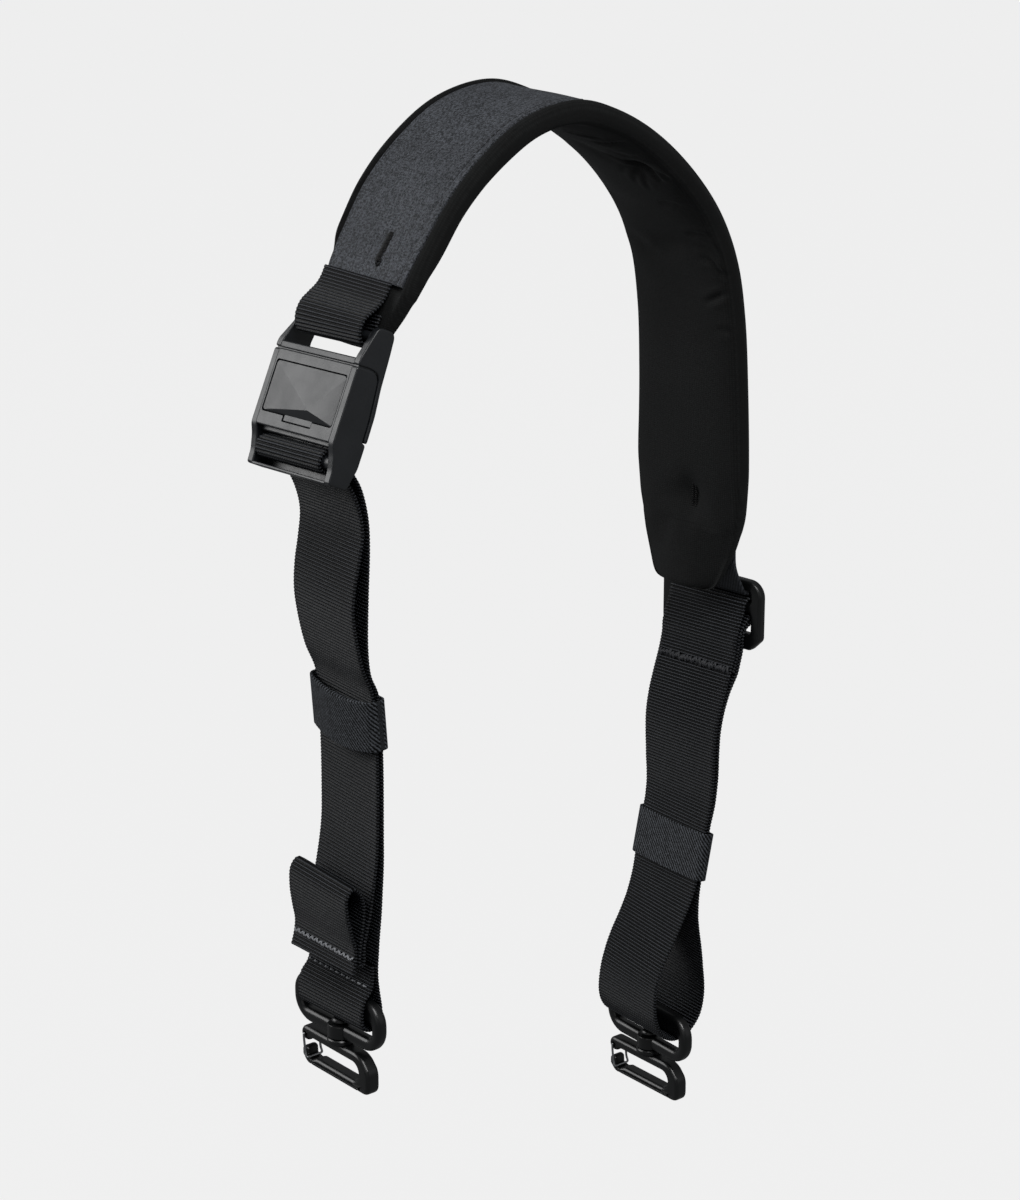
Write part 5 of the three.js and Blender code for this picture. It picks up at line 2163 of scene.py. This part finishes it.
    def build(self) -> None:
        """Builds the buckle's three pieces."""
        self.lower_half()
        self.upper_half()
        self.button()
        log.info("release buckle: base half, hung half and button")


# ---- studio


class Softbox(NamedTuple):
    """A square soft light: where it stands, its size in metres, and its power."""

    name: str
    at: tuple
    size: float
    power: float


@dataclass
class Studio:
    """Pale floor, soft lights and the camera.

    Args:
        finishes: The strap's materials.
        target: Where the camera and the lights aim, in metres.
        azimuth: The camera's direction, in degrees.
        elevation: Its height over the target, in degrees.
        distance: Its distance from the target, in metres.
        lens: Its focal length.
        floor_height: Height of the floor, in metres.
        sky_strength: Strength of the even sky.
    """

    finishes: Wardrobe
    target: Vector = field(default_factory=lambda: Vector((-0.010, 0.0, -0.180)))
    azimuth: float = -40.0
    elevation: float = 19.0
    distance: float = 1.245
    lens: float = 100.0
    floor_height: float = -0.62
    sky_strength: float = 0.17

    FLOOR_SIZE = 16.0
    FLOOR_MIDDLE = (2.0, 3.0)
    LIGHTS = (
        Softbox("key_behind_left", (-1.25, 1.35, 0.55), 1.3, 20.0),
        Softbox("top", (-0.45, -1.0, 1.3), 0.9, 20.0),
        Softbox("fill_front_left", (-1.7, -1.0, 0.5), 1.4, 2.0),
        Softbox("fill_front_right", (0.9, -1.7, 0.4), 1.4, 1.5),
    )

    def floor(self) -> None:
        """Lays the pale floor."""
        bpy.ops.mesh.primitive_plane_add(
            size=self.FLOOR_SIZE, location=(*self.FLOOR_MIDDLE, self.floor_height))
        made = bpy.context.object
        made.name = "studio_floor"
        made.data.materials.append(self.finishes.paper)
        made.visible_diffuse = made.visible_glossy = False

    def lights(self) -> None:
        """Sets the soft lights and the even sky."""
        for light in self.LIGHTS:
            data = bpy.data.lights.new(light.name, "AREA")
            data.shape, data.size, data.energy = "SQUARE", light.size, light.power
            made = bpy.data.objects.new(light.name, data)
            made.location = light.at
            aim = self.target - Vector(light.at)
            made.rotation_euler = aim.to_track_quat("-Z", "Y").to_euler()
            bpy.context.scene.collection.objects.link(made)
        world = bpy.data.worlds.new("even_sky")
        world.use_nodes = True
        sky = world.node_tree.nodes["Background"]
        sky.inputs["Color"].default_value = linear("#f4f6f8")
        sky.inputs["Strength"].default_value = self.sky_strength
        bpy.context.scene.world = world

    def camera(self) -> None:
        """Sets the camera at its viewing angle."""
        data = bpy.data.cameras.new("camera")
        data.lens, data.sensor_width = self.lens, 36.0
        data.clip_start, data.clip_end = 0.05, 50.0
        made = bpy.data.objects.new("camera", data)
        a, e = math.radians(self.azimuth), math.radians(self.elevation)
        back = Vector((math.sin(a) * math.cos(e), -math.cos(a) * math.cos(e), math.sin(e)))
        made.location = self.target + back * self.distance
        made.rotation_euler = (-back).to_track_quat("-Z", "Y").to_euler()
        bpy.context.scene.collection.objects.link(made)
        bpy.context.scene.camera = made

    def build(self) -> None:
        """Sets up the whole studio."""
        self.camera()
        self.floor()
        self.lights()
        bpy.context.scene.view_settings.view_transform = "Standard"


def main() -> None:
    """Builds every sub-assembly in order."""
    logging.basicConfig(level=logging.INFO, format="%(name)s: %(message)s")
    finishes = Wardrobe()
    Studio(finishes).build()
    ShoulderPad(finishes).build()
    Strands(finishes).build()
    Keeper("left_band", "left_keeper", x=-86.15, z=-205, lean=-4.2, yaw=-4, bulge=2.8, sag=2.2,
           thick=6.6).piece(finishes)
    Keeper("right_band", "right_keeper", x=75.05, z=-301.4, lean=11.6, yaw=-1.8, bulge=0.4,
           sag=0.5, thick=5.3).piece(finishes)
    ReleaseBuckle(finishes).build()
    Slider(finishes).build()
    EndFitting("left", x=-92.5, z=-315.5, yaw=2, finishes=finishes).build()
    EndFitting("right", x=64.0, z=-370.3, yaw=-3, finishes=finishes).build()


if __name__ == "__main__":
    main()
